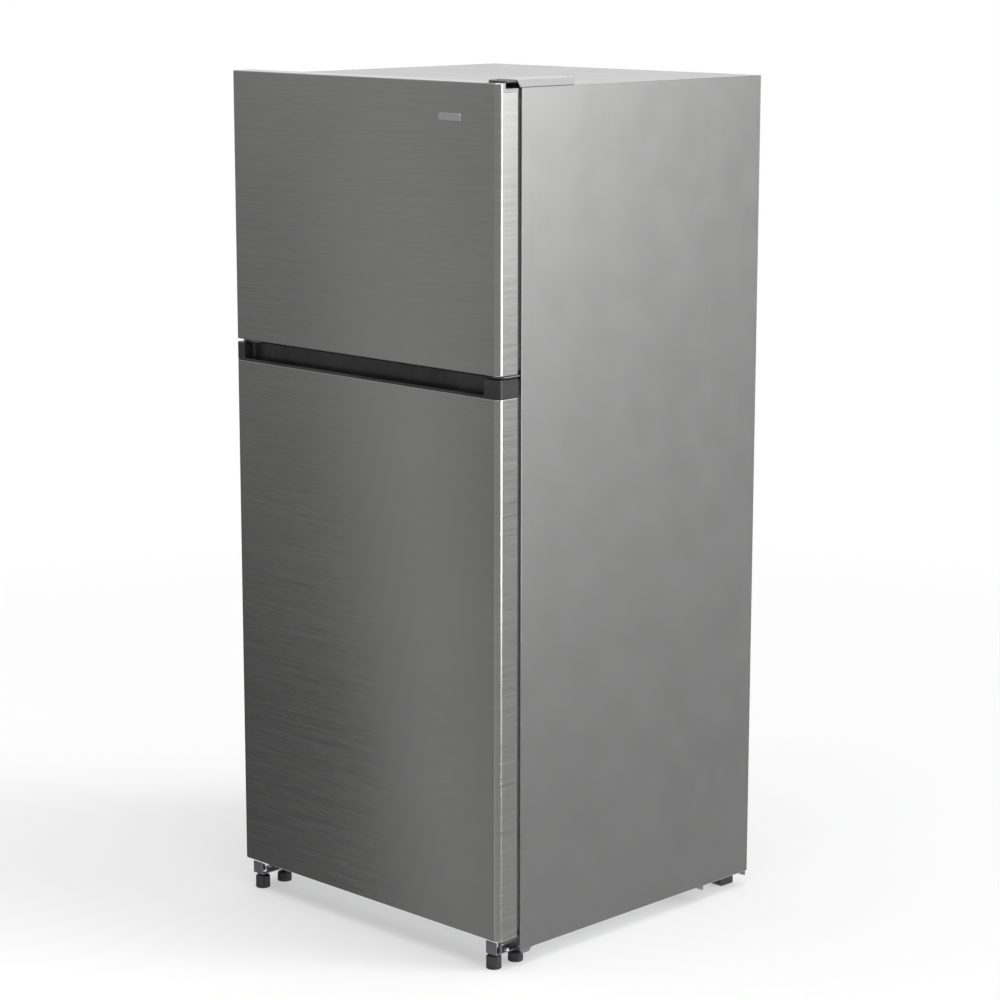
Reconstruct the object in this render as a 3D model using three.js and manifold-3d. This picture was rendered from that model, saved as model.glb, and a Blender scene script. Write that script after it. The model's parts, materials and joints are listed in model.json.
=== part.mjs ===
// Top freezer refrigerator: an insulated steel cabinet with a freezer over a fresh-food
// compartment, two foamed steel doors on right-hand pins, and the cooling parts behind and below.
// Millimetres, +Z up, front towards -Y. While it is modelled, y = 0 is the cabinet's front face;
// the group then moves so that the origin is under the middle of the whole object, on the floor.
import * as THREE from 'three';
import { mergeVertices } from 'three/addons/utils/BufferGeometryUtils.js';
import Module from 'manifold-3d';

const wasm = await Module();
wasm.setup();

// ---- Cabinet -------------------------------------------------------------------------------
const WIDTH = 750;             // over the side panels and the doors
const CABINET_DEPTH = 683;     // front face to the back panel
const CABINET_TOP = 1690;      // floor to the top panel
const CABINET_BOTTOM = 33;     // floor to the side panels' lower edge
const SHEET = 1;               // sheet steel of the panels and the door skins
const LINER = 1.5;             // vacuum-formed plastic
const FLANGE = 22;             // folded front edge of the side and top panels
const GAP = 0.3;               // between pieces that touch
const FRIDGE_WALL = 45;        // outside to the fresh-food liner's inner face
const FREEZER_WALL = 58;       // outside to the freezer liner's inner face
const BACK_WALL = 55;          // back panel to the liners' inner face
const FLOOR_WALL = 79;         // cabinet bottom to the fresh-food floor
const RAIL_HEIGHT = 58;        // steel rail between the openings
const MULLION = 76;            // freezer floor to fresh-food ceiling
const MACHINE_HEIGHT = 222;    // machine compartment above the cabinet bottom
const MACHINE_DEPTH = 185;     // machine compartment ahead of the back panel
const MACHINE_WALL = 44;       // insulation over and ahead of the machine compartment
const FRONT_RAIL = 57;         // steel rail under the fresh-food opening

// ---- Doors ---------------------------------------------------------------------------------
const DOOR_FRONT = 60.5;       // door face ahead of the cabinet face
const DOOR_REAR = 6.5;         // door's back face ahead of the cabinet face
const DOOR_RISE = 9.5;         // freezer door's top above the cabinet's
const DOOR_LIFT = 29.5;        // fridge door's lower edge above the cabinet's
const FREEZER_SECTION = 531.8; // cabinet top down to the middle of the gap between the doors
const DOOR_GAP = 7;            // between the doors
const DOOR_EDGE = 11;          // radius of the front vertical edges
const DOOR_REAR_EDGE = 4;      // radius of the back vertical edges, which the swing needs
const SKIN_RETURN = 12;        // skin folded in behind the door
const CAP = 14;                // plastic end caps inside the skin
const TOP_CAP = 18;            // freezer door's top cap
const CAP_SKIRT_FRONT = 48;    // the top cap's side skirt starts here, ahead of the cabinet face
const DYKE_CLEARANCE = 13;     // door liner's raised frame to the compartment walls
const DYKE_WIDTH = 26;         // width of that frame
const DYKE_REACH = 58;         // how far it enters the cabinet
const BIN_REACH = 92;          // how far the bins enter the cabinet
const BIN_WALL = 2.5;
const BOSS_DROP = 5.5;         // bosses under the fridge door's lower cap
const BUSH_WALL = 2;           // plastic left over the pins' blind bushes
const GASKET_INSET = 18;       // gasket's outer edge from the door's sides
const GASKET_WIDTH = 16;
const GASKET_END_INSET = 6;    // gasket's outer edge from the door's ends
const GASKET_GAP = 0.6;        // left between the seal and the cabinet face at rest

// ---- Handle cap of the fridge door ---------------------------------------------------------
const HANDLE_BAND = 35.5;      // height of the band that shows
const SCOOP_DEPTH = 25;        // pocket behind the door face
const SCOOP_LEFT = 28;         // flush block beside the pocket, free side
const SCOOP_RIGHT = 38;        // flush block beside the pocket, hinge side
const SCOOP_LIP = 4;           // height of the lip under the pocket's mouth
const SCOOP_DIP = 10;          // how far the pocket's floor drops behind the lip
const SCOOP_FLOOR = 4.5;       // plastic under the pocket
const HANDLE_BUSH = 19;        // depth of the middle hinge's bush in the cap

// ---- Hinges --------------------------------------------------------------------------------
const PIN_INSET = 22;          // pin axis from the door's side
const PIN_FORWARD = 33;        // pin axis ahead of the cabinet face
const PIN_RADIUS = 4;
const PIN_CLEARANCE = 0.3;     // radial, between a pin and its bush
const PIN_SHORT = 1.5;         // a pin's end from the bottom of its bush
const ARM_RADIUS = 22;         // round nose of the top hinge arm
const ARM_THICKNESS = 4.5;
const ARM_LIFT = 0.5;          // arm above the door's top
const POCKET_CLEARANCE = 2;    // pocket in the top cap round the arm's nose
const POCKET_DEPTH = 10.5;
const COVER_LENGTH = 141;      // top hinge cover, back from the cabinet face
const COVER_CLEARANCE = 1.8;   // beside the arm, inside the cover
const COVER_OVERHANG = 16;     // cover ahead of the cabinet face
const COVER_WALL = 1.2;
const MIDDLE_PLATE = 3.6;      // thickness of the middle hinge plate
const MIDDLE_RADIUS = 18;
const MIDDLE_TAIL = 30;        // how far the middle hinge enters the rail
const BRACKET_PLATE = 2.5;     // thickness of the lower brackets
const BRACKET_WIDTH = 28;
const BRACKET_FRONT = 50;      // bracket's front lip ahead of the cabinet face
const BRACKET_LIP = 25;        // height of the front lip
const BRACKET_OFFSET = 3;      // bracket's centre line outside the feet's
const BRACKET_REACH = 36;      // bracket under the cabinet
const EAR_DROP = 5.5;          // ear below the bracket's plate

// ---- Feet ----------------------------------------------------------------------------------
const FOOT_INSET = 33;         // foot axis from the cabinet's side
const FOOT_RADIUS = 15;
const FRONT_FOOT_Y = -39.2;
const FRONT_FOOT_HEIGHT = 27;
const FRONT_STEM_RADIUS = 5;
const INNER_FOOT_Y = 20.6;
const INNER_FOOT_HEIGHT = 20;
const INNER_STEM_RADIUS = 6.5;
const STEM_HEADROOM = 9;       // top of a foot's screw to the fridge door's bosses
const STEM_CLEARANCE = 0.5;
const REAR_FOOT_WIDTH = 30;
const REAR_FOOT_LENGTH = 42;
const REAR_FOOT_INSET = 31;    // rear foot's outer face from the cabinet's side
const REAR_FOOT_SETBACK = 7;   // rear foot from the back panel

// ---- Inside the cabinet --------------------------------------------------------------------
const SHELF_THICKNESS = 5;
const SHELF_CLEARANCE = 22;    // shelves start this far behind the door bins
const SHELF_TRIM = 14;         // height of a shelf's front trim
const RIB = 9;                 // shelf ribs stand this far out of the liner
const RIB_HEIGHT = 6;
const CRISPER_SIDE_GAP = 18;   // drawer to the liner wall, for its guides and the door's swing
const CRISPER_HEADROOM = 8.5;  // drawer's rim to the cover's front trim
const CRISPER_LENGTH = 315;
const CRISPER_WALL = 3;
const CRISPER_GAP = 4;         // between the two drawers
const EVAPORATOR_SPACE = 72;   // freezer liner's back to the evaporator cover
const EVAPORATOR_INSET = 72;   // fin pack's ends from the freezer liner's sides
const COIL_INSET = 55;         // condenser's outer end from the cabinet's side
const COMPRESSOR_INSET = 180;  // compressor's axis from the cabinet's side
const GLAND_INSET = 105;       // cord gland's axis from the cabinet's side
const KNOB_RADIUS = 19;
const KNOB_LENGTH = 15;

const HALF = WIDTH / 2;
const INNER_HALF = HALF - SHEET - GAP;
const FACE_HALF = HALF - FLANGE - GAP;
const PIN_X = HALF - PIN_INSET;
const PIN_Y = -PIN_FORWARD;
const BORE = PIN_RADIUS + PIN_CLEARANCE;
const DOOR_TOP = CABINET_TOP + DOOR_RISE;
const DOOR_BOTTOM = CABINET_BOTTOM + DOOR_LIFT;
const DOOR_SPLIT = CABINET_TOP - FREEZER_SECTION;
const HANDLE_CAP = HANDLE_BAND - SCOOP_LIP + SCOOP_DIP + SCOOP_FLOOR;
const COVER_WIDTH = PIN_INSET + ARM_RADIUS + COVER_CLEARANCE + COVER_WALL;
const COVER_TOP = DOOR_TOP + ARM_LIFT + ARM_THICKNESS + GAP + COVER_WALL;
const STEM_TOP = DOOR_BOTTOM - BOSS_DROP - STEM_HEADROOM;
const SHELF_FRONT = BIN_REACH + SHELF_CLEARANCE;
const FRONT_LINING = Math.max(SHEET, LINER) + GAP;
const BACK = CABINET_DEPTH - BACK_WALL;
const MACHINE_FRONT = CABINET_DEPTH - MACHINE_DEPTH;
const MACHINE_TOP = CABINET_BOTTOM + MACHINE_HEIGHT;
const FREEZER = {
  half: HALF - FREEZER_WALL,
  floor: DOOR_SPLIT + MULLION / 2,
  ceiling: CABINET_TOP - FREEZER_WALL,
};
const FRIDGE = {
  half: HALF - FRIDGE_WALL,
  floor: CABINET_BOTTOM + FLOOR_WALL,
  ceiling: DOOR_SPLIT - MULLION / 2,
};
const RAIL_BOTTOM = DOOR_SPLIT - RAIL_HEIGHT / 2;
const RAIL_TOP = DOOR_SPLIT + RAIL_HEIGHT / 2;
const CUT = 60;                // cutting tools run this far past what they cut

// ---- Shape helpers -------------------------------------------------------------------------
function box([x0, x1], [y0, y1], [z0, z1]) {
  const geometry = new THREE.BoxGeometry(x1 - x0, y1 - y0, z1 - z0);
  return geometry.translate((x0 + x1) / 2, (y0 + y1) / 2, (z0 + z1) / 2);
}

function outlineShape(points) {
  return new THREE.Shape(points.map(([a, b]) => new THREE.Vector2(a, b)));
}

function extrude(shape, length, segments = 6) {
  return new THREE.ExtrudeGeometry(shape, { depth: length, bevelEnabled: false, curveSegments: segments });
}

// Profile in (x, y), raised from z0 to z1.
function prismZ(shape, z0, z1) {
  return extrude(shape, z1 - z0).translate(0, 0, z0);
}

// Profile in (y, z), drawn along X.
function prismX(points, x0, x1) {
  const turn = new THREE.Matrix4().makeBasis(
    new THREE.Vector3(0, 1, 0), new THREE.Vector3(0, 0, 1), new THREE.Vector3(1, 0, 0));
  return extrude(outlineShape(points), x1 - x0).applyMatrix4(turn).translate(x0, 0, 0);
}

// Profile in (x, z), drawn along Y.
function prismY(shape, y0, y1) {
  return extrude(shape, y1 - y0).rotateX(Math.PI / 2).translate(0, y1, 0);
}

// Round bar along an axis, from one end to the other.
function bar(axis, radius, from, to, [a, b], segments = 20) {
  const geometry = new THREE.CylinderGeometry(radius, radius, to - from, segments);
  const middle = (from + to) / 2;
  if (axis === 'z') return geometry.rotateX(Math.PI / 2).translate(a, b, middle);
  if (axis === 'x') return geometry.rotateZ(Math.PI / 2).translate(middle, a, b);
  return geometry.translate(a, middle, b);
}

function solid(geometry) {
  const bare = geometry.clone();
  bare.deleteAttribute('normal');
  bare.deleteAttribute('uv');
  const merged = mergeVertices(bare, 1e-4);
  return new wasm.Manifold(new wasm.Mesh({
    numProp: 3,
    vertProperties: merged.attributes.position.array,
    triVerts: Uint32Array.from(merged.index.array),
  }));
}

function surface(manifold) {
  const mesh = manifold.getMesh();
  const geometry = new THREE.BufferGeometry();
  geometry.setAttribute('position', new THREE.BufferAttribute(mesh.vertProperties, 3));
  geometry.setIndex(new THREE.BufferAttribute(mesh.triVerts, 1));
  geometry.computeVertexNormals();
  return geometry;
}

function join(first, ...others) {
  return surface(others.reduce((sum, other) => sum.add(solid(other)), solid(first)));
}

function cut(first, ...tools) {
  return surface(tools.reduce((rest, tool) => rest.subtract(solid(tool)), solid(first)));
}

// Moves a counter-clockwise outline outwards by a distance.
function grown(points, distance) {
  const direction = ([ax, ay], [bx, by]) => {
    const length = Math.hypot(bx - ax, by - ay);
    return [(by - ay) / length, -(bx - ax) / length];
  };
  return points.map((point, i) => {
    const before = direction(points[(i + points.length - 1) % points.length], point);
    const after = direction(point, points[(i + 1) % points.length]);
    const reach = distance / (1 + before[0] * after[0] + before[1] * after[1]);
    return [point[0] + (before[0] + after[0]) * reach, point[1] + (before[1] + after[1]) * reach];
  });
}

function mirrored(geometry) {
  const flipped = geometry.clone().applyMatrix4(new THREE.Matrix4().makeScale(-1, 1, 1));
  const index = flipped.index ? flipped : mergeVertices(flipped, 1e-4);
  const order = index.index.array;
  for (let i = 0; i < order.length; i += 3) [order[i], order[i + 1]] = [order[i + 1], order[i]];
  index.computeVertexNormals();
  return index;
}

function roundedRect([x0, x1], [y0, y1], radius) {
  const shape = new THREE.Shape();
  shape.absarc(x1 - radius, y0 + radius, radius, -Math.PI / 2, 0, false);
  shape.absarc(x1 - radius, y1 - radius, radius, 0, Math.PI / 2, false);
  shape.absarc(x0 + radius, y1 - radius, radius, Math.PI / 2, Math.PI, false);
  shape.absarc(x0 + radius, y0 + radius, radius, Math.PI, Math.PI * 1.5, false);
  return shape;
}

// Open-topped tray with even walls.
function tray([x0, x1], [y0, y1], [z0, z1], wall) {
  const inside = box([x0 + wall, x1 - wall], [y0 + wall, y1 - wall], [z0 + wall, z1 + CUT]);
  return cut(box([x0, x1], [y0, y1], [z0, z1]), inside);
}

// Fin pack: a comb of plates on a spine, with its teeth along Z.
function finPack([x0, x1], [y0, y1], [z0, z1], count, spine) {
  const pitch = (x1 - x0) / (count - 0.5);
  const points = [[x0, z1], [x0, z0]];
  for (let i = 0; i < count; i += 1) {
    const left = x0 + i * pitch;
    points.push([left + pitch / 2, z0], [left + pitch / 2, z1 - spine]);
    if (i < count - 1) points.push([left + pitch, z1 - spine], [left + pitch, z0]);
  }
  points[points.length - 1] = [x1, z1];
  return prismY(outlineShape(points), y0, y1);
}

// ---- Materials -----------------------------------------------------------------------------
function material(color, roughness, metalness) {
  return new THREE.MeshStandardMaterial({ color, roughness, metalness });
}

const MATERIALS = {
  doorSteel: material(0x9a9a98, 0.34, 1),
  sideSteel: material(0xa3a3a1, 0.42, 0.8),
  topSteel: material(0xc9c9c9, 0.5, 0.4),
  darkSteel: material(0x3a3b3e, 0.45, 0.7),
  bracketSteel: material(0x76757c, 0.45, 0.7),
  zincSteel: material(0x9da0a3, 0.4, 0.9),
  whitePlastic: material(0xf1f2f2, 0.35, 0),
  greyPlastic: material(0xc4c5c8, 0.5, 0),
  blackPlastic: material(0x2c2c2c, 0.4, 0),
  clearPlastic: material(0xdfe7ea, 0.12, 0),
  glass: material(0xd5e6e2, 0.05, 0),
  foam: material(0xe6dcae, 0.9, 0),
  gasketRubber: material(0x8f9194, 0.7, 0),
  footRubber: material(0x33332f, 0.7, 0),
  blackEnamel: material(0x141414, 0.35, 0.3),
  aluminium: material(0xbfc3c6, 0.35, 1),
  lamp: material(0xfbf8ec, 0.3, 0),
};

const group = new THREE.Group();
const cabinet = new THREE.Group();
const freezerDoor = new THREE.Group();
const fridgeDoor = new THREE.Group();
group.add(cabinet, freezerDoor, fridgeDoor);

function piece(parent, name, geometry, finish) {
  const mesh = new THREE.Mesh(geometry, finish);
  mesh.name = name;
  parent.add(mesh);
  return mesh;
}

// ---- Cabinet shell -------------------------------------------------------------------------
function sidePanel() {
  const wall = box([HALF - SHEET, HALF], [0, CABINET_DEPTH], [CABINET_BOTTOM, CABINET_TOP]);
  const fold = box([HALF - FLANGE, HALF], [0, SHEET], [CABINET_BOTTOM, CABINET_TOP]);
  return join(wall, fold);
}

function topPanel() {
  const sheet = box([-INNER_HALF, INNER_HALF], [SHEET + GAP, CABINET_DEPTH],
    [CABINET_TOP - SHEET, CABINET_TOP]);
  const fold = box([-FACE_HALF, FACE_HALF], [0, SHEET], [CABINET_TOP - FLANGE, CABINET_TOP]);
  const bend = box([-FACE_HALF, FACE_HALF], [0, SHEET + 1], [CABINET_TOP - SHEET, CABINET_TOP]);
  return join(sheet, fold, bend);
}

function backPanel() {
  return box([-INNER_HALF, INNER_HALF], [CABINET_DEPTH - SHEET, CABINET_DEPTH],
    [MACHINE_TOP + SHEET + GAP, CABINET_TOP - SHEET - GAP]);
}

// Holes over the inner levelling feet, through the floor sheet and into the foam.
function stemHoles(radius, top) {
  const x = HALF - FOOT_INSET;
  return [-x, x].map((at) => bar('z', radius, CABINET_BOTTOM - CUT, top, [at, INNER_FOOT_Y]));
}

function bottomPanel() {
  const floor = CABINET_BOTTOM;
  const rear = CABINET_DEPTH - SHEET - GAP;
  const profile = [
    [SHEET + GAP, floor], [MACHINE_FRONT, floor], [MACHINE_FRONT, MACHINE_TOP], [rear, MACHINE_TOP],
    [rear, MACHINE_TOP + SHEET], [MACHINE_FRONT - SHEET, MACHINE_TOP + SHEET],
    [MACHINE_FRONT - SHEET, floor + SHEET], [SHEET + GAP, floor + SHEET],
  ];
  const sheet = prismX(profile, -INNER_HALF, INNER_HALF);
  return cut(sheet, ...stemHoles(INNER_STEM_RADIUS + 1, STEM_TOP));
}

function frontRail() {
  const face = box([-FACE_HALF, FACE_HALF], [0, SHEET], [CABINET_BOTTOM, CABINET_BOTTOM + FRONT_RAIL]);
  const ridge = box([-FACE_HALF, FACE_HALF], [0, FRONT_LINING - GAP],
    [CABINET_BOTTOM + FRONT_RAIL / 2, CABINET_BOTTOM + FRONT_RAIL]);
  return join(face, ridge);
}

const TAIL_X = [PIN_X - 25, PIN_X - 4];
const MIDDLE_Z = [DOOR_SPLIT - MIDDLE_PLATE / 2, DOOR_SPLIT + MIDDLE_PLATE / 2];

function tailPocket(clearance) {
  return box([TAIL_X[0] - clearance, Math.min(TAIL_X[1] + clearance, FACE_HALF + GAP / 2)],
    [-CUT, MIDDLE_TAIL + clearance], [MIDDLE_Z[0] - clearance, MIDDLE_Z[1] + clearance]);
}

function mullionRail() {
  const face = box([-FACE_HALF, FACE_HALF], [0, SHEET], [RAIL_BOTTOM, RAIL_TOP]);
  return cut(face, tailPocket(GAP));
}

function basePlate() {
  const front = MACHINE_FRONT + 46;
  const rear = CABINET_DEPTH - 3;
  const top = CABINET_BOTTOM - GAP;
  const lip = 10;
  const profile = [
    [front, top - SHEET - lip], [front + SHEET, top - SHEET - lip], [front + SHEET, top - SHEET],
    [rear - SHEET, top - SHEET], [rear - SHEET, top - SHEET - lip], [rear, top - SHEET - lip],
    [rear, top], [front, top],
  ];
  return prismX(profile, -INNER_HALF, INNER_HALF);
}

// ---- Liners and foam -----------------------------------------------------------------------
// Side outlines of the compartments' inner faces, counter-clockwise in (y, z), open at the front.
const STEP_TOP = MACHINE_TOP + MACHINE_WALL;
const STEP_FRONT = MACHINE_FRONT - MACHINE_WALL - 19;
const STEP_REAR = MACHINE_FRONT - 28;
const OPEN_FRONT = -20;
const FREEZER_PROFILE = [
  [OPEN_FRONT, FREEZER.floor], [BACK, FREEZER.floor], [BACK, FREEZER.ceiling],
  [OPEN_FRONT, FREEZER.ceiling],
];
const FRIDGE_PROFILE = [
  [OPEN_FRONT, FRIDGE.floor], [STEP_FRONT, FRIDGE.floor], [STEP_REAR, STEP_TOP], [BACK, STEP_TOP],
  [BACK, FRIDGE.ceiling], [OPEN_FRONT, FRIDGE.ceiling],
];

function pocket(profile, half, distance) {
  return prismX(grown(profile, distance), -half - distance, half + distance);
}

function liner(profile, half, [flangeBottom, flangeTop], ribs) {
  const flange = box([-FACE_HALF, FACE_HALF], [0, LINER], [flangeBottom, flangeTop]);
  const ahead = box([-WIDTH, WIDTH], [-WIDTH, 0], [-CUT, CABINET_TOP + CUT]);
  const shell = cut(join(pocket(profile, half, LINER), flange), pocket(profile, half, 0), ahead);
  return join(shell, ...ribs);
}

function shelfRibs(half, level, [front, rear], reach = RIB) {
  return [-1, 1].map((side) => {
    const edges = [side * (half - reach), side * (half + LINER / 2)].sort((a, b) => a - b);
    return box(edges, [front, rear], [level - RIB_HEIGHT - GAP, level - GAP]);
  });
}

const FREEZER_SHELF = (FREEZER.floor + FREEZER.ceiling) / 2 + 14;
const CRISPER_COVER = STEP_TOP + RIB_HEIGHT;
const UPPER_SHELF = FRIDGE.ceiling - 258;
const MIDDLE_SHELF = (UPPER_SHELF + CRISPER_COVER) / 2;
const SHELF_REAR = BACK - 14;
const RIB_ENDS = [SHELF_FRONT + 6, SHELF_REAR - 10];
const CRISPER_FLOOR = FRIDGE.floor + 5;
const TRIM_RISE = 1.5;         // a shelf's front trim above its plate
const CRISPER_TOP = CRISPER_COVER + SHELF_THICKNESS + TRIM_RISE - SHELF_TRIM - CRISPER_HEADROOM;
const CRISPER_HEIGHT = CRISPER_TOP - CRISPER_FLOOR;

function freezerLiner() {
  const ribs = shelfRibs(FREEZER.half, FREEZER_SHELF, [SHELF_FRONT + 6, BACK - EVAPORATOR_SPACE - 20]);
  return liner(FREEZER_PROFILE, FREEZER.half,
    [RAIL_TOP + GAP, CABINET_TOP - FLANGE - GAP], ribs);
}

function fridgeLiner() {
  const ribs = [UPPER_SHELF, MIDDLE_SHELF, CRISPER_COVER].flatMap(
    (level) => shelfRibs(FRIDGE.half, level, RIB_ENDS));
  const guides = shelfRibs(FRIDGE.half, CRISPER_FLOOR + CRISPER_HEIGHT * 0.8,
    [SHELF_FRONT + 6, SHELF_FRONT + CRISPER_LENGTH], CRISPER_SIDE_GAP - 1);
  return liner(FRIDGE_PROFILE, FRIDGE.half,
    [CABINET_BOTTOM + FRONT_RAIL + GAP, RAIL_BOTTOM - GAP], [...ribs, ...guides]);
}

function insulation() {
  const rear = CABINET_DEPTH - SHEET - GAP;
  const block = box([-INNER_HALF, INNER_HALF], [FRONT_LINING, rear],
    [CABINET_BOTTOM + SHEET + GAP, CABINET_TOP - SHEET - GAP]);
  const machine = box([-WIDTH, WIDTH], [MACHINE_FRONT - SHEET - GAP, CABINET_DEPTH + CUT],
    [-CUT, MACHINE_TOP + SHEET + GAP]);
  return cut(block, machine, tailPocket(2),
    pocket(FREEZER_PROFILE, FREEZER.half, LINER + GAP),
    pocket(FRIDGE_PROFILE, FRIDGE.half, LINER + GAP),
    ...stemHoles(INNER_STEM_RADIUS + 1.5, STEM_TOP + 4));
}

// ---- Inside the compartments ---------------------------------------------------------------
function shelf(half, level, rear) {
  const side = half - 1.5;
  const plate = box([-side, side], [SHELF_FRONT, rear], [level, level + SHELF_THICKNESS]);
  const trimTop = level + SHELF_THICKNESS + TRIM_RISE;
  const trim = prismX([[SHELF_FRONT - 3, trimTop - SHELF_TRIM], [SHELF_FRONT, trimTop - SHELF_TRIM],
    [SHELF_FRONT + 5, trimTop], [SHELF_FRONT - 3, trimTop]], -side + RIB, side - RIB);
  return join(plate, trim);
}

function crisper() {
  const width = (2 * (FRIDGE.half - CRISPER_SIDE_GAP) - CRISPER_GAP) / 2;
  const body = tray([0, width], [0, CRISPER_LENGTH], [0, CRISPER_HEIGHT], CRISPER_WALL);
  const grip = box([width * 0.25, width * 0.75], [-CUT, CRISPER_WALL + 1],
    [CRISPER_HEIGHT - 22, CRISPER_HEIGHT + CUT]);
  const rim = box([width * 0.25, width * 0.75], [0, CRISPER_WALL + 10],
    [CRISPER_HEIGHT - 27, CRISPER_HEIGHT - 22]);
  return join(cut(body, grip), rim);
}

function iceBin() {
  const floor = FREEZER.floor + 1;
  const left = -FREEZER.half + RIB + 6;
  const length = 200;
  return tray([left, left + length], [SHELF_FRONT + 26, SHELF_FRONT + 316], [floor, floor + 118], 2.5);
}

const CONTROL = { half: 112, front: 128, rear: 372, height: 36 };

function controlBox() {
  const top = FRIDGE.ceiling - GAP;
  const profile = [[CONTROL.front + 8, top - CONTROL.height], [CONTROL.rear, top - CONTROL.height],
    [CONTROL.rear + 30, top], [CONTROL.front, top], [CONTROL.front, top - CONTROL.height + 8]];
  return prismX(profile, -CONTROL.half, CONTROL.half);
}

// Shaft and grip rib on a round body, turning about Y. Its origin is on its axis, at its back.
function knob() {
  const body = bar('y', KNOB_RADIUS, -KNOB_LENGTH * 0.6, 0, [0, 0], 28);
  const grip = box([-3, 3], [-KNOB_LENGTH, -KNOB_LENGTH * 0.3], [-KNOB_RADIUS + 3, KNOB_RADIUS - 3]);
  return join(body, grip);
}

function lampLens() {
  const top = FRIDGE.ceiling - CONTROL.height - 2 * GAP;
  const profile = [[CONTROL.front + 70, top - 4], [CONTROL.rear - 44, top - 4],
    [CONTROL.rear - 40, top], [CONTROL.front + 66, top]];
  return prismX(profile, -70, 70);
}

function evaporatorCover() {
  const y = BACK - EVAPORATOR_SPACE;
  const slotHalf = FREEZER.half - EVAPORATOR_INSET - 5;
  const plate = box([-FREEZER.half + GAP, FREEZER.half - GAP], [y, y + 3],
    [FREEZER.floor + GAP, FREEZER.ceiling - GAP]);
  const slots = [];
  for (let row = 0; row < 4; row += 1) {
    const z = FREEZER.ceiling - 62 - row * 16;
    slots.push(box([-110, 110], [y - CUT, y + CUT], [z, z + 7]));
    slots.push(box([-slotHalf, slotHalf], [y - CUT, y + CUT], [FREEZER.floor + 12 + row * 12,
      FREEZER.floor + 17 + row * 12]));
  }
  return cut(plate, ...slots);
}

function evaporatorCoil() {
  const half = FREEZER.half - EVAPORATOR_INSET;
  return finPack([-half, half], [BACK - 58, BACK - 8], [FREEZER.floor + 24, FREEZER.floor + 214], 26, 12);
}

// Hub with pitched blades, turning about Y, centred on the origin.
function fan(radius, depth, blades) {
  const hubRadius = radius * 0.32;
  const hub = bar('y', hubRadius, -depth / 2, depth / 2, [0, 0], 20);
  const parts = [];
  for (let i = 0; i < blades; i += 1) {
    const blade = box([hubRadius * 0.7, radius], [-1, 1], [-radius * 0.26, radius * 0.26]);
    blade.rotateX(THREE.MathUtils.degToRad(28)).rotateY((i * Math.PI * 2) / blades);
    parts.push(blade);
  }
  return join(hub, ...parts);
}

// The fan turns behind the middle of the cover's upper slots.
const FREEZER_FAN = { radius: 46, depth: 20, z: FREEZER.ceiling - 82.5, y: BACK - 50 };

function evaporatorFanMotor() {
  const front = FREEZER_FAN.y + FREEZER_FAN.depth / 2 + 2;
  const can = bar('y', 21, front, BACK - 6, [0, FREEZER_FAN.z]);
  const strap = box([-70, 70], [BACK - 12, BACK - 6], [FREEZER_FAN.z - 8, FREEZER_FAN.z + 8]);
  return join(can, strap);
}

// ---- Machine compartment -------------------------------------------------------------------
const MACHINE_FLOOR = CABINET_BOTTOM;
const MACHINE_MIDDLE = (MACHINE_FRONT + CABINET_DEPTH) / 2;

function compressor() {
  const profile = [[0, 0], [52, 0], [66, 14], [70, 40], [74, 72], [74, 82], [70, 92], [66, 132],
    [50, 152], [22, 160], [0, 161]].map(([r, z]) => new THREE.Vector2(r, z));
  const can = new THREE.LatheGeometry(profile, 28).rotateX(Math.PI / 2);
  can.translate(0, 0, 8);
  const base = box([-92, 92], [-48, 48], [0, 12]);
  const terminal = box([60, 92], [-24, 24], [60, 112]);
  const lift = MACHINE_FLOOR + GAP;
  return join(can, base, terminal).translate(HALF - COMPRESSOR_INSET, MACHINE_MIDDLE, lift);
}

const COIL_X = [-HALF + COIL_INSET, -70];

function condenserCoil() {
  return finPack(COIL_X, [MACHINE_MIDDLE - 52, MACHINE_MIDDLE + 60],
    [MACHINE_FLOOR + 44, MACHINE_TOP - 36], 18, 10);
}

const CONDENSER_FAN = { x: -8, z: MACHINE_FLOOR + 110, radius: 55, depth: 22 };

function condenserFanMount() {
  const { x, z, radius, depth } = CONDENSER_FAN;
  const y = MACHINE_MIDDLE;
  const reach = radius + 14;
  const left = x - depth / 2 - 3;
  const plate = box([left, left + 2], [y - reach, y + reach], [MACHINE_FLOOR + GAP, z + reach]);
  const hole = bar('x', radius + 4, left - CUT, left + CUT, [y, z], 28);
  const stay = x + depth / 2 + 4;
  const motor = bar('x', 20, stay, stay + 34, [y, z]);
  const post = box([stay, stay + 6], [y - 9, y + 9], [MACHINE_FLOOR + GAP, z]);
  const foot = box([left, stay + 6], [y - 9, y + 9], [MACHINE_FLOOR + GAP, MACHINE_FLOOR + 4]);
  return join(cut(plate, hole), motor, post, foot);
}

function dripPan() {
  return tray([COIL_X[0] + 10, COIL_X[1] - 10], [MACHINE_MIDDLE - 48, MACHINE_MIDDLE + 56],
    [MACHINE_FLOOR + GAP, MACHINE_FLOOR + 34], 2.5);
}

const GLAND = { x: -HALF + GLAND_INSET, z: CABINET_BOTTOM + 52, radius: 11, bore: 4.5 };

function compressorCover() {
  const rear = [CABINET_DEPTH - SHEET, CABINET_DEPTH];
  const plate = box([-INNER_HALF, INNER_HALF], rear, [CABINET_BOTTOM + GAP, MACHINE_TOP + SHEET]);
  const slots = [];
  for (let row = 0; row < 7; row += 1) {
    for (const x of [-190, 60]) {
      const z = CABINET_BOTTOM + 70 + row * 18;
      slots.push(box([x, x + 150], [CABINET_DEPTH - CUT, CABINET_DEPTH + CUT], [z, z + 7]));
    }
  }
  const hole = bar('y', GLAND.radius + GAP, CABINET_DEPTH - CUT, CABINET_DEPTH + CUT, [GLAND.x, GLAND.z]);
  return cut(plate, hole, ...slots);
}

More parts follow.
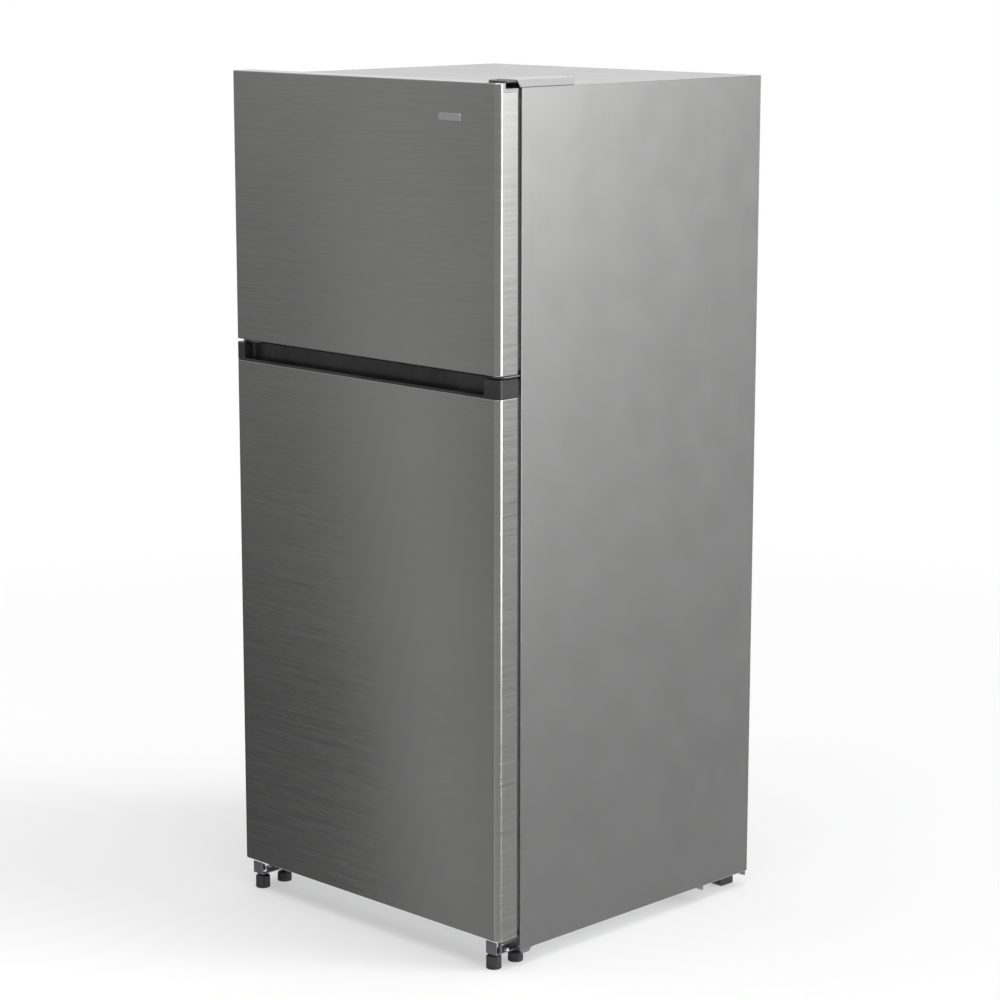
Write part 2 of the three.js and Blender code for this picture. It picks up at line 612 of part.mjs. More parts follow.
function cordGland() {
  const ring = bar('y', GLAND.radius, CABINET_DEPTH - 14, CABINET_DEPTH, [GLAND.x, GLAND.z]);
  const collar = bar('y', GLAND.radius + 3, CABINET_DEPTH - 14, CABINET_DEPTH - SHEET - 1,
    [GLAND.x, GLAND.z]);
  const bore = bar('y', GLAND.bore, CABINET_DEPTH - CUT, CABINET_DEPTH + CUT, [GLAND.x, GLAND.z], 12);
  return cut(join(ring, collar), bore);
}

// ---- Hinges and feet -----------------------------------------------------------------------
// Round-nosed plate about the pin, running back to a given depth.
function noseOutline(radius, rear) {
  const shape = new THREE.Shape();
  shape.moveTo(PIN_X + radius, rear);
  shape.lineTo(PIN_X - radius, rear);
  shape.absarc(PIN_X, PIN_Y, radius, Math.PI, Math.PI * 2, false);
  return shape;
}

function topHinge() {
  const arm = DOOR_TOP + ARM_LIFT;
  const top = arm + ARM_THICKNESS;
  const nose = prismZ(noseOutline(ARM_RADIUS, 14), arm, top);
  const side = HALF - COVER_WALL - 2 * GAP;
  const trim = box([side, WIDTH], [-COVER_OVERHANG, CUT], [arm - 1, top + 1]);
  const riser = box([PIN_X - 17, side], [4, 14], [CABINET_TOP + GAP, top]);
  const plate = box([PIN_X - 17, side], [4, COVER_LENGTH - 16], [CABINET_TOP + GAP, CABINET_TOP + 4]);
  const pin = bar('z', PIN_RADIUS, DOOR_TOP - TOP_CAP + BUSH_WALL + PIN_SHORT, arm + 1, [PIN_X, PIN_Y]);
  return join(cut(nose, trim), riser, plate, pin);
}

function topHingeCover() {
  const base = CABINET_TOP + GAP;
  const top = COVER_TOP;
  const eave = DOOR_TOP + ARM_LIFT;
  const outer = prismX([[1, base], [COVER_LENGTH, base], [COVER_LENGTH, top], [-COVER_OVERHANG, top],
    [-COVER_OVERHANG + 2, eave], [-2, eave]], HALF - COVER_WIDTH, HALF);
  const inner = box([HALF - COVER_WIDTH + COVER_WALL, HALF - COVER_WALL],
    [-CUT, COVER_LENGTH - COVER_WALL], [base - CUT, top - COVER_WALL]);
  return cut(outer, inner);
}

function middleHinge() {
  const nose = prismZ(noseOutline(MIDDLE_RADIUS, -GAP), ...MIDDLE_Z);
  const tail = box(TAIL_X, [-GAP - 1, MIDDLE_TAIL], MIDDLE_Z);
  const pin = bar('z', PIN_RADIUS, DOOR_SPLIT - DOOR_GAP / 2 - HANDLE_BUSH + PIN_SHORT,
    DOOR_SPLIT + DOOR_GAP / 2 + CAP - BUSH_WALL - PIN_SHORT, [PIN_X, PIN_Y]);
  return join(nose, tail, pin);
}

const BRACKET_TOP = CABINET_BOTTOM - GAP;
const BRACKET_MIDDLE = HALF - FOOT_INSET + BRACKET_OFFSET;
const BRACKET_X = [BRACKET_MIDDLE - BRACKET_WIDTH / 2, BRACKET_MIDDLE + BRACKET_WIDTH / 2];

function lowerBracket(withPin) {
  const under = BRACKET_TOP - BRACKET_PLATE;
  const plate = box(BRACKET_X, [-BRACKET_FRONT, BRACKET_REACH], [under, BRACKET_TOP]);
  const lip = box(BRACKET_X, [-BRACKET_FRONT, -BRACKET_FRONT + BRACKET_PLATE],
    [under, under + BRACKET_LIP]);
  const wing = box([BRACKET_X[1] - 1, HALF - SHEET - GAP], [3, BRACKET_REACH - 3], [under, BRACKET_TOP]);
  const ear = prismX([[5, under - EAR_DROP + 2], [8, under - EAR_DROP], [BRACKET_REACH - 10,
    under - EAR_DROP], [BRACKET_REACH - 3, BRACKET_TOP], [3, BRACKET_TOP]],
  HALF - SHEET - GAP - BRACKET_PLATE, HALF - SHEET - GAP);
  const x = HALF - FOOT_INSET;
  const holes = [
    bar('z', FRONT_STEM_RADIUS + STEM_CLEARANCE, 0, CABINET_TOP, [x, FRONT_FOOT_Y]),
    bar('z', INNER_STEM_RADIUS + STEM_CLEARANCE, 0, CABINET_TOP, [x, INNER_FOOT_Y]),
  ];
  const bracket = cut(join(plate, lip, wing, ear), ...holes);
  if (!withPin) return mirrored(bracket);
  const pin = bar('z', PIN_RADIUS, under + 1, DOOR_BOTTOM + CAP - BUSH_WALL - PIN_SHORT,
    [PIN_X, PIN_Y]);
  return join(bracket, pin);
}

function levellingFoot(height, stemRadius) {
  const profile = [[0, 0], [FOOT_RADIUS - 1.5, 0], [FOOT_RADIUS, 1.5], [FOOT_RADIUS, height - 1],
    [FOOT_RADIUS - 1, height], [stemRadius, height], [stemRadius, STEM_TOP], [0, STEM_TOP]];
  const points = profile.map(([r, z]) => new THREE.Vector2(r, z));
  return new THREE.LatheGeometry(points, 24).rotateX(Math.PI / 2);
}

function rearFoot() {
  const top = CABINET_BOTTOM - GAP - SHEET - GAP;
  const y = CABINET_DEPTH - REAR_FOOT_SETBACK - REAR_FOOT_LENGTH;
  const rear = y + REAR_FOOT_LENGTH;
  const profile = [[y + 5, 0], [rear - 2, 0], [rear, 2], [rear, top], [y, top], [y, 5]];
  const outer = HALF - REAR_FOOT_INSET;
  return prismX(profile, outer - REAR_FOOT_WIDTH, outer);
}

// ---- Doors ---------------------------------------------------------------------------------
// Each door is modelled with z = 0 at its skin's lower edge; its group lifts it into place.
const FREEZER_BASE = DOOR_SPLIT + DOOR_GAP / 2;
const FREEZER_DOOR_HEIGHT = DOOR_TOP - FREEZER_BASE;
const FRIDGE_DOOR_HEIGHT = DOOR_SPLIT - DOOR_GAP / 2 - DOOR_BOTTOM;
const LINER_FRONT = -DOOR_REAR - LINER;

// Door section seen from above, set in from the outside by an even amount.
function doorOutline(inset) {
  const side = HALF - inset;
  const front = -DOOR_FRONT + inset;
  const rear = -DOOR_REAR - inset;
  const nose = DOOR_EDGE - inset;
  const heel = DOOR_REAR_EDGE - inset;
  const shape = new THREE.Shape();
  shape.absarc(side - nose, front + nose, nose, -Math.PI / 2, 0, false);
  shape.absarc(side - heel, rear - heel, heel, 0, Math.PI / 2, false);
  shape.absarc(-side + heel, rear - heel, heel, Math.PI / 2, Math.PI, false);
  shape.absarc(-side + nose, front + nose, nose, Math.PI, Math.PI * 1.5, false);
  return shape;
}

const CORE_INSET = SHEET + GAP;

function doorSkin(height) {
  const outer = prismZ(doorOutline(0), 0, height);
  const inner = prismZ(doorOutline(SHEET), -CUT, height + CUT);
  const mouth = box([-HALF + SKIN_RETURN, HALF - SKIN_RETURN], [-DOOR_REAR - SHEET - 1, CUT],
    [-CUT, height + CUT]);
  return cut(outer, inner, mouth);
}

// Skirts of the top cap, and the room that the skin leaves for them.
function capSkirts(height, clearance) {
  return [-1, 1].map((side) => {
    const edges = [side * (HALF - SKIN_RETURN - 2), side * (HALF + (clearance ? CUT : 0))];
    return box(edges.sort((a, b) => a - b), [-CAP_SKIRT_FRONT - clearance, clearance ? CUT : -DOOR_REAR],
      [height - TOP_CAP + 1 - clearance, clearance ? height + CUT : height]);
  });
}

// The two plastic caps have a flat back between the skin's folds.
function capBack(z0, z1) {
  const side = HALF - SKIN_RETURN - GAP;
  return box([-side, side], [LINER_FRONT - 2, -DOOR_REAR], [z0, z1]);
}

function freezerTopCap(height) {
  const plug = prismZ(doorOutline(CORE_INSET), height - TOP_CAP, height);
  const heel = prismZ(doorOutline(0), height - TOP_CAP - 1, height + 1);
  const skirts = capSkirts(height, 0).map((block) => surface(solid(block).intersect(solid(heel))));
  const cap = join(plug, capBack(height - TOP_CAP, height), ...skirts);
  const floor = height - POCKET_DEPTH;
  const radius = ARM_RADIUS + POCKET_CLEARANCE;
  const round = bar('z', radius, floor, height + CUT, [PIN_X, PIN_Y], 28);
  const quarter = box([PIN_X - radius, WIDTH], [PIN_Y, CUT], [floor, height + CUT]);
  const bush = bar('z', BORE, height - TOP_CAP + BUSH_WALL, height, [PIN_X, PIN_Y]);
  return cut(cap, round, quarter, bush);
}

function bottomCap(bosses) {
  const plug = prismZ(doorOutline(CORE_INSET), 0, CAP);
  const bush = bar('z', BORE, -CUT, CAP - BUSH_WALL, [PIN_X, PIN_Y]);
  return cut(join(plug, capBack(0, CAP), ...bosses), bush);
}

function boss(drop) {
  return prismZ(roundedRect([PIN_X - 33, PIN_X + 17], [PIN_Y - 14, PIN_Y + 20], 8), -drop, 1);
}

function handleCap(height) {
  const band = prismZ(doorOutline(0), height - HANDLE_BAND, height);
  const plug = prismZ(doorOutline(CORE_INSET), height - HANDLE_CAP, height - 1);
  const back = -DOOR_FRONT + SCOOP_DEPTH;
  const sides = [-HALF + SCOOP_LEFT, HALF - SCOOP_RIGHT];
  const mouth = box(sides, [-DOOR_FRONT - CUT, back], [height - HANDLE_BAND + SCOOP_LIP, height + CUT]);
  const dip = box(sides, [-DOOR_FRONT + 4, back], [height - HANDLE_BAND + SCOOP_LIP - SCOOP_DIP, height]);
  const bush = bar('z', BORE, height - HANDLE_BUSH, height + CUT, [PIN_X, PIN_Y]);
  return cut(join(band, plug, capBack(height - HANDLE_CAP, height)), mouth, dip, bush);
}

// The liner's raised frame, clear of its compartment's walls and of the door's end caps.
function dykeFrame(compartment, base, [z0, z1]) {
  return {
    half: compartment.half - DYKE_CLEARANCE,
    bottom: Math.max(compartment.floor + DYKE_CLEARANCE - base, z0 + 1),
    top: Math.min(compartment.ceiling - DYKE_CLEARANCE - base, z1 - 1),
  };
}

// Raised frame of the door liner, as a rectangular ring.
function dyke(frame, inset, front, reach) {
  const outer = box([-frame.half + inset, frame.half - inset], [front, reach],
    [frame.bottom + inset, frame.top - inset]);
  const width = DYKE_WIDTH - inset;
  const inner = box([-frame.half + width, frame.half - width], [front - CUT, reach + CUT],
    [frame.bottom + width, frame.top - width]);
  return cut(outer, inner);
}

function doorLiner(frame, [z0, z1]) {
  const side = HALF - SKIN_RETURN - GAP;
  const plate = box([-side, side], [LINER_FRONT, -DOOR_REAR], [z0, z1]);
  const ring = dyke(frame, 0, -DOOR_REAR - LINER / 2, DYKE_REACH);
  const hollow = dyke(frame, LINER, LINER_FRONT - 1, DYKE_REACH - LINER);
  return cut(join(plate, ring), hollow);
}

function doorFoam(frame, [z0, z1]) {
  const slab = prismZ(doorOutline(CORE_INSET), z0, z1);
  const behind = box([-WIDTH, WIDTH], [LINER_FRONT - GAP, CUT], [-CUT, CABINET_TOP]);
  const fill = dyke(frame, LINER + GAP, LINER_FRONT - GAP - 1, DYKE_REACH - LINER - GAP);
  return join(cut(slab, behind), fill);
}

function gasket(z0, z1) {
  const side = HALF - GASKET_INSET;
  const shape = roundedRect([-side, side], [z0, z1], 5);
  const inner = roundedRect([-side + GASKET_WIDTH, side - GASKET_WIDTH],
    [z0 + GASKET_WIDTH, z1 - GASKET_WIDTH], 3);
  return cut(prismY(shape, -DOOR_REAR + GAP, -GASKET_GAP), prismY(inner, -DOOR_REAR - CUT, CUT));
}

function doorBin(frame, z, height, frontDrop) {
  const side = frame.half - DYKE_WIDTH - 1;
  const rear = -DOOR_REAR + 1;
  const bin = tray([-side, side], [rear, BIN_REACH], [z, z + height], BIN_WALL);
  const low = box([-side - CUT, side + CUT], [BIN_REACH - 30, BIN_REACH + CUT],
    [z + height - frontDrop, z + height + CUT]);
  return cut(bin, low);
}

function buildFreezerDoor(door) {
  const height = FREEZER_DOOR_HEIGHT;
  const core = [CAP + GAP, height - TOP_CAP - GAP];
  const frame = dykeFrame(FREEZER, FREEZER_BASE, core);
  const plug = mirrored(boss(DOOR_GAP - 1));
  piece(door, 'freezer_door_skin', cut(doorSkin(height), ...capSkirts(height, GAP)), MATERIALS.doorSteel);
  piece(door, 'freezer_door_foam', doorFoam(frame, core), MATERIALS.foam);
  piece(door, 'freezer_door_liner', doorLiner(frame, core), MATERIALS.whitePlastic);
  piece(door, 'freezer_door_gasket',
    gasket(GASKET_END_INSET, CABINET_TOP - GASKET_END_INSET - FREEZER_BASE), MATERIALS.gasketRubber);
  piece(door, 'freezer_door_top_cap', freezerTopCap(height), MATERIALS.greyPlastic);
  piece(door, 'freezer_door_bottom_cap', bottomCap([plug]), MATERIALS.greyPlastic);
  const floor = frame.bottom + DYKE_WIDTH + 4;
  const pitch = (frame.top - frame.bottom - 2 * DYKE_WIDTH) / 2;
  ['lower', 'upper'].forEach((level, i) => {
    piece(door, `freezer_door_bin_${level}`, doorBin(frame, floor + i * pitch, 96, 34),
      MATERIALS.clearPlastic);
  });
  door.position.z = FREEZER_BASE;
}

function buildFridgeDoor(door) {
  const height = FRIDGE_DOOR_HEIGHT;
  const core = [CAP + GAP, height - HANDLE_CAP - GAP];
  const frame = dykeFrame(FRIDGE, DOOR_BOTTOM, core);
  const skinTop = height - HANDLE_BAND - GAP;
  const bosses = [boss(BOSS_DROP), mirrored(boss(BOSS_DROP))];
  piece(door, 'fridge_door_skin', doorSkin(skinTop), MATERIALS.doorSteel);
  piece(door, 'fridge_door_foam', doorFoam(frame, core), MATERIALS.foam);
  piece(door, 'fridge_door_liner', doorLiner(frame, core), MATERIALS.whitePlastic);
  piece(door, 'fridge_door_gasket', gasket(GASKET_END_INSET, height - GASKET_END_INSET),
    MATERIALS.gasketRubber);
  piece(door, 'handle_cap', handleCap(height), MATERIALS.blackPlastic);
  piece(door, 'fridge_door_bottom_cap', bottomCap(bosses), MATERIALS.greyPlastic);
  const floor = frame.bottom + DYKE_WIDTH + 4;
  const pitch = (frame.top - frame.bottom - 2 * DYKE_WIDTH) / 3;
  ['lower', 'middle', 'upper'].forEach((level, i) => {
    piece(door, `fridge_door_bin_${level}`, doorBin(frame, floor + i * pitch, 104, 36),
      MATERIALS.clearPlastic);
  });
  door.position.z = DOOR_BOTTOM;
}

// ---- Assembly ------------------------------------------------------------------------------
function buildShell() {
  piece(cabinet, 'side_panel_right', sidePanel(), MATERIALS.sideSteel);
  piece(cabinet, 'side_panel_left', mirrored(sidePanel()), MATERIALS.sideSteel);
  piece(cabinet, 'top_panel', topPanel(), MATERIALS.topSteel);
  piece(cabinet, 'back_panel', backPanel(), MATERIALS.zincSteel);
  piece(cabinet, 'bottom_panel', bottomPanel(), MATERIALS.zincSteel);
  piece(cabinet, 'front_rail', frontRail(), MATERIALS.sideSteel);
  piece(cabinet, 'mullion_rail', mullionRail(), MATERIALS.sideSteel);
  piece(cabinet, 'base_plate', basePlate(), MATERIALS.zincSteel);
  piece(cabinet, 'cabinet_insulation', insulation(), MATERIALS.foam);
  piece(cabinet, 'freezer_liner', freezerLiner(), MATERIALS.whitePlastic);
  piece(cabinet, 'fridge_liner', fridgeLiner(), MATERIALS.whitePlastic);
}

function buildInterior() {
  piece(cabinet, 'freezer_shelf', shelf(FREEZER.half, FREEZER_SHELF, BACK - EVAPORATOR_SPACE - 10),
    MATERIALS.glass);
  piece(cabinet, 'fridge_shelf_upper', shelf(FRIDGE.half, UPPER_SHELF, SHELF_REAR), MATERIALS.glass);
  piece(cabinet, 'fridge_shelf_middle', shelf(FRIDGE.half, MIDDLE_SHELF, SHELF_REAR), MATERIALS.glass);
  piece(cabinet, 'crisper_cover', shelf(FRIDGE.half, CRISPER_COVER, SHELF_REAR), MATERIALS.glass);
  piece(cabinet, 'ice_bin', iceBin(), MATERIALS.clearPlastic);
  piece(cabinet, 'control_box', controlBox(), MATERIALS.whitePlastic);
  piece(cabinet, 'lamp_lens', lampLens(), MATERIALS.lamp);
  const turning = piece(cabinet, 'temperature_knob', knob(), MATERIALS.greyPlastic);
  turning.position.set(CONTROL.half / 2, CONTROL.front - GAP, FRIDGE.ceiling - KNOB_RADIUS - 2);
  const left = -FRIDGE.half + CRISPER_SIDE_GAP;
  [['crisper_left', left], ['crisper_right', CRISPER_GAP / 2]].forEach(([name, x]) => {
    const drawer = piece(cabinet, name, crisper(), MATERIALS.clearPlastic);
    drawer.position.set(x, SHELF_FRONT - 4, CRISPER_FLOOR);
  });
}

function buildCooling() {
  piece(cabinet, 'evaporator_cover', evaporatorCover(), MATERIALS.whitePlastic);
  piece(cabinet, 'evaporator_coil', evaporatorCoil(), MATERIALS.aluminium);
  piece(cabinet, 'evaporator_fan_motor', evaporatorFanMotor(), MATERIALS.greyPlastic);
  const blower = piece(cabinet, 'evaporator_fan', fan(FREEZER_FAN.radius, FREEZER_FAN.depth, 5),
    MATERIALS.blackPlastic);
  blower.position.set(0, FREEZER_FAN.y, FREEZER_FAN.z);
  piece(cabinet, 'compressor', compressor(), MATERIALS.blackEnamel);
  piece(cabinet, 'condenser_coil', condenserCoil(), MATERIALS.aluminium);
  piece(cabinet, 'condenser_fan_mount', condenserFanMount(), MATERIALS.zincSteel);
  const cooler = piece(cabinet, 'condenser_fan', fan(CONDENSER_FAN.radius, CONDENSER_FAN.depth, 5),
    MATERIALS.blackPlastic);
  cooler.rotation.z = -Math.PI / 2;
  cooler.position.set(CONDENSER_FAN.x, MACHINE_MIDDLE, CONDENSER_FAN.z);
  piece(cabinet, 'drip_pan', dripPan(), MATERIALS.blackPlastic);
  piece(cabinet, 'compressor_cover', compressorCover(), MATERIALS.zincSteel);
  piece(cabinet, 'cord_gland', cordGland(), MATERIALS.blackPlastic);
}

function buildHinges() {
  piece(cabinet, 'top_hinge', topHinge(), MATERIALS.darkSteel);
  piece(cabinet, 'top_hinge_cover', topHingeCover(), MATERIALS.greyPlastic);
  piece(cabinet, 'middle_hinge', middleHinge(), MATERIALS.bracketSteel);
  piece(cabinet, 'lower_bracket_right', lowerBracket(true), MATERIALS.bracketSteel);
  piece(cabinet, 'lower_bracket_left', lowerBracket(false), MATERIALS.bracketSteel);
}

function buildFeet() {
  for (const [side, sign] of [['left', -1], ['right', 1]]) {
    const x = sign * (HALF - FOOT_INSET);
    const front = piece(cabinet, `front_foot_${side}`,
      levellingFoot(FRONT_FOOT_HEIGHT, FRONT_STEM_RADIUS), MATERIALS.footRubber);
    front.position.set(x, FRONT_FOOT_Y, 0);
    const inner = piece(cabinet, `inner_foot_${side}`,
      levellingFoot(INNER_FOOT_HEIGHT, INNER_STEM_RADIUS), MATERIALS.footRubber);
    inner.position.set(x, INNER_FOOT_Y, 0);
    const rear = sign > 0 ? rearFoot() : mirrored(rearFoot());
    piece(cabinet, `rear_foot_${side}`, rear, MATERIALS.footRubber);
  }
}

buildShell();
buildInterior();
buildCooling();
buildHinges();
buildFeet();
buildFreezerDoor(freezerDoor);
buildFridgeDoor(fridgeDoor);
group.position.y = (DOOR_FRONT - CABINET_DEPTH) / 2;

export default group;
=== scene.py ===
"""Looks of a top freezer refrigerator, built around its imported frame.

Each sub-assembly is a class that holds its sizes, builds its meshes and dresses them. Lengths
are in metres, +Z is up and the doors face -Y. The doors hang on pins at their right-hand side.
"""

import json
import logging
import math
from dataclasses import dataclass
from enum import Enum
from typing import Callable, Sequence

import bmesh
import bpy
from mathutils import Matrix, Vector


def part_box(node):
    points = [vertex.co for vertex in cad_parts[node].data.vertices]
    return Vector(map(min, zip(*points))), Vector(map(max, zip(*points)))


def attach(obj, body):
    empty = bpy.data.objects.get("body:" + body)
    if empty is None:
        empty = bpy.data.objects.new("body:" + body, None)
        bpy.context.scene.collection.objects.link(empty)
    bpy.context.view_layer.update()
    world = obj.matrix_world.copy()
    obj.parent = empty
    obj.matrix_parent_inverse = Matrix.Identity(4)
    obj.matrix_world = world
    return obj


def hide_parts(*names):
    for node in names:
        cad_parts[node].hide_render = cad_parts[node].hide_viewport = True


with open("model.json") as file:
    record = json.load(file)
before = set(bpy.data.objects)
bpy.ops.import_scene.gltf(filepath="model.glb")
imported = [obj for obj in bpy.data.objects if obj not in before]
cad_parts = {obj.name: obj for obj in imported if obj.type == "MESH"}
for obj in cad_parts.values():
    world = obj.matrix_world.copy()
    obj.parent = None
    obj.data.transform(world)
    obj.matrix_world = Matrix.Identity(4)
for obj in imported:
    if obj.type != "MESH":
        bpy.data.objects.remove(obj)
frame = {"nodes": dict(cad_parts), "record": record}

LOG = logging.getLogger("refrigerator")
HAIR = 0.0002          # two coordinates closer than this are the same place
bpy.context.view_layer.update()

Point = Sequence[float]
EdgeTest = Callable[[Vector, Vector], bool]
FaceTest = Callable[[Vector, Vector], bool]


class Axis(Enum):
    """A direction that a bar, an edge or a row runs in."""

    X = 0
    Y = 1
    Z = 2

    @property
    def vector(self) -> Vector:
        """Unit vector along the axis."""
        return Vector([1.0 if i == self.value else 0.0 for i in range(3)])


class Side(Enum):
    """Which half of the refrigerator a piece is on, seen from the front."""

    LEFT = -1
    RIGHT = 1

    @property
    def word(self) -> str:
        """The side's name as node names write it."""
        return self.name.lower()


# ---- Shader nodes ---------------------------------------------------------------------------
class Wiring:
    """Adds nodes to one node tree and links their sockets."""

    def __init__(self, tree: bpy.types.NodeTree) -> None:
        """Takes the tree that the nodes go into."""
        self.tree = tree

    def add(self, kind: str, inputs: dict | None = None, **settings: object) -> bpy.types.Node:
        """Adds a node.

        Args:
            kind: the node's type, without its ShaderNode prefix unless it is a group socket.
            inputs: socket name or number to a value, or to another node's output socket.
            settings: the node's own properties, such as operation or noise_type.

        Returns:
            The new node.
        """
        name = kind if kind.startswith("NodeGroup") else "ShaderNode" + kind
        node = self.tree.nodes.new(name)
        for key, value in settings.items():
            setattr(node, key, value)
        for key, value in (inputs or {}).items():
            if isinstance(value, bpy.types.NodeSocket):
                self.tree.links.new(value, node.inputs[key])
            else:
                node.inputs[key].default_value = value
        return node

    def ramp(self, factor: bpy.types.NodeSocket,
             stops: Sequence[tuple[float, float]]) -> bpy.types.NodeSocket:
        """Turns a value into a grey through stops of (place, grey), and returns the colour output."""
        node = self.add("ValToRGB", {"Fac": factor})
        first, last = stops[0], stops[-1]
        for element, (place, grey) in zip(node.color_ramp.elements, (first, last)):
            element.position = place
            element.color = (grey, grey, grey, 1.0)
        for place, grey in stops[1:-1]:
            node.color_ramp.elements.new(place).color = (grey, grey, grey, 1.0)
        return node.outputs["Color"]

    def spread(self, value: bpy.types.NodeSocket, low: float, high: float,
               start: float = 0.0, end: float = 1.0) -> bpy.types.NodeSocket:
        """Maps start..end of a value onto low..high, clamped, and returns the result's socket."""
        node = self.add("MapRange", {"Value": value, "From Min": start, "From Max": end,
                                     "To Min": low, "To Max": high})
        return node.outputs["Result"]

    def tint(self, factor: bpy.types.NodeSocket, dark: Point, light: Point) -> bpy.types.NodeSocket:
        """Mixes two colours by a value, and returns the colour's socket."""
        return self.mix(factor, (*dark, 1.0), (*light, 1.0))

    def mix(self, factor: bpy.types.NodeSocket, a: object, b: object) -> bpy.types.NodeSocket:
        """Mixes two colours, each a value with its alpha or a socket, and returns the result's socket."""
        return self.add("Mix", {"Factor": factor, "A": a, "B": b}, data_type="RGBA").outputs["Result"]

    def math(self, operation: str, a: object, b: object) -> bpy.types.NodeSocket:
        """One arithmetic step on two values or sockets, and returns its socket."""
        return self.add("Math", {0: a, 1: b}, operation=operation).outputs[0]


class EffectGroup:
    """A shader effect shared by several finishes, kept as one node group.

    A subclass names the group, its inputs with their usual values and its outputs, and wires the
    nodes between them. The group is made once, the first time that a finish asks for it.
    """

    title = ""
    inputs: dict[str, float] = {}
    outputs: tuple[str, ...] = ()

    def wire(self, wiring: Wiring, given: bpy.types.Node, out: bpy.types.Node) -> None:
        """Wires the effect between the group's input and output nodes."""
        raise NotImplementedError

    def tree(self) -> bpy.types.NodeTree:
        """Returns the node group, made on first use."""
        made = bpy.data.node_groups.get(self.title)
        if made:
            return made
        tree = bpy.data.node_groups.new(self.title, "ShaderNodeTree")
        tree.interface.new_socket("Place", in_out="INPUT", socket_type="NodeSocketVector")
        for name, value in self.inputs.items():
            socket = tree.interface.new_socket(name, in_out="INPUT", socket_type="NodeSocketFloat")
            socket.default_value = value
        for name in self.outputs:
            tree.interface.new_socket(name, in_out="OUTPUT", socket_type="NodeSocketFloat")
        wiring = Wiring(tree)
        self.wire(wiring, wiring.add("NodeGroupInput"), wiring.add("NodeGroupOutput"))
        return tree

    def use(self, wiring: Wiring, place: bpy.types.NodeSocket, **values: float) -> bpy.types.Node:
        """Places the group in a material.

        Args:
            wiring: the material's node tree.
            place: the coordinates that the effect follows.
            values: input name, with _ for a space, to its value here.

        Returns:
            The group node.
        """
        node = wiring.add("Group", node_tree=self.tree())
        wiring.tree.links.new(place, node.inputs["Place"])
        for name, value in values.items():
            node.inputs[name.replace("_", " ")].default_value = value
        return node


class BrushLines(EffectGroup):
    """Fine parallel lines left by a brushing belt, with slow cloudy changes along the sheet."""

    title = "brush lines"
    inputs = {"Side Scale": 9.0, "Depth Scale": 9.0, "Height Scale": 1500.0}
    outputs = ("Lines", "Clouds")

    def wire(self, wiring: Wiring, given: bpy.types.Node, out: bpy.types.Node) -> None:
        """Stretches two noises along the brushing direction."""
        scale = wiring.add("CombineXYZ", {0: given.outputs["Side Scale"], 1: given.outputs["Depth Scale"],
                                          2: given.outputs["Height Scale"]})
        stretched = wiring.add("VectorMath", {0: given.outputs["Place"], 1: scale.outputs[0]},
                               operation="MULTIPLY")
        fine = wiring.add("TexNoise", {"Vector": stretched.outputs[0], "Scale": 1.0, "Detail": 3.0,
                                       "Roughness": 0.65})
        broad = wiring.add("TexNoise", {"Vector": stretched.outputs[0], "Scale": 0.23, "Detail": 2.0})
        both = wiring.math("ADD", wiring.math("MULTIPLY", fine.outputs["Fac"], 0.65),
                           wiring.math("MULTIPLY", broad.outputs["Fac"], 0.35))
        clouds = wiring.add("TexNoise", {"Vector": given.outputs["Place"], "Scale": 3.1, "Detail": 2.0})
        wiring.tree.links.new(both, out.inputs["Lines"])
        wiring.tree.links.new(clouds.outputs["Fac"], out.inputs["Clouds"])


class MouldedGrain(EffectGroup):
    """Fine spark-eroded grain of moulded plastic, with a slow change of tone."""

    title = "moulded grain"
    inputs = {"Grain Scale": 900.0}
    outputs = ("Grain", "Tone")

    def wire(self, wiring: Wiring, given: bpy.types.Node, out: bpy.types.Node) -> None:
        """Puts out a fine noise and a broad one."""
        fine = wiring.add("TexNoise", {"Vector": given.outputs["Place"], "Detail": 2.0,
                                       "Scale": given.outputs["Grain Scale"]})
        broad = wiring.add("TexNoise", {"Vector": given.outputs["Place"], "Scale": 7.0, "Detail": 3.0})
        wiring.tree.links.new(fine.outputs["Fac"], out.inputs["Grain"])
        wiring.tree.links.new(broad.outputs["Fac"], out.inputs["Tone"])


class SettledDust(EffectGroup):
    """Dust that settles on faces that look up, patchy and thin, and a painted edge highlight that also stands
    for scuffs.
    """

    title = "settled dust"
    inputs = {"Cover": 0.5, "Patch Scale": 11.0}
    outputs = ("Dust", "Worn Edge")

    def wire(self, wiring: Wiring, given: bpy.types.Node, out: bpy.types.Node) -> None:
        """Masks the noise by the surface's upward normal, and finds edges by their pointiness."""
        geometry = wiring.add("NewGeometry")
        upward = wiring.add("SeparateXYZ", {0: geometry.outputs["Normal"]}).outputs["Z"]
        patches = wiring.add("TexNoise", {"Vector": given.outputs["Place"], "Detail": 6.0,
                                          "Scale": given.outputs["Patch Scale"]})
        facing = wiring.spread(upward, 0.0, 1.0, 0.4, 1.0)
        cover = wiring.math("MULTIPLY", wiring.spread(patches.outputs["Fac"], 0.1, 1.0, 0.38, 0.7), facing)
        dust = wiring.math("MULTIPLY", cover, given.outputs["Cover"])
        # painted highlight on the outer edges, found by pointiness; it also stands for scuffs
        edge = wiring.spread(geometry.outputs["Pointiness"], 0.0, 1.0, 0.53, 0.62)
        edge_sheen_and_wear = wiring.math("MULTIPLY", edge, wiring.spread(patches.outputs["Fac"], 0.3, 1.0, 0.35, 0.6))
        wiring.tree.links.new(dust, out.inputs["Dust"])
        wiring.tree.links.new(edge_sheen_and_wear, out.inputs["Worn Edge"])


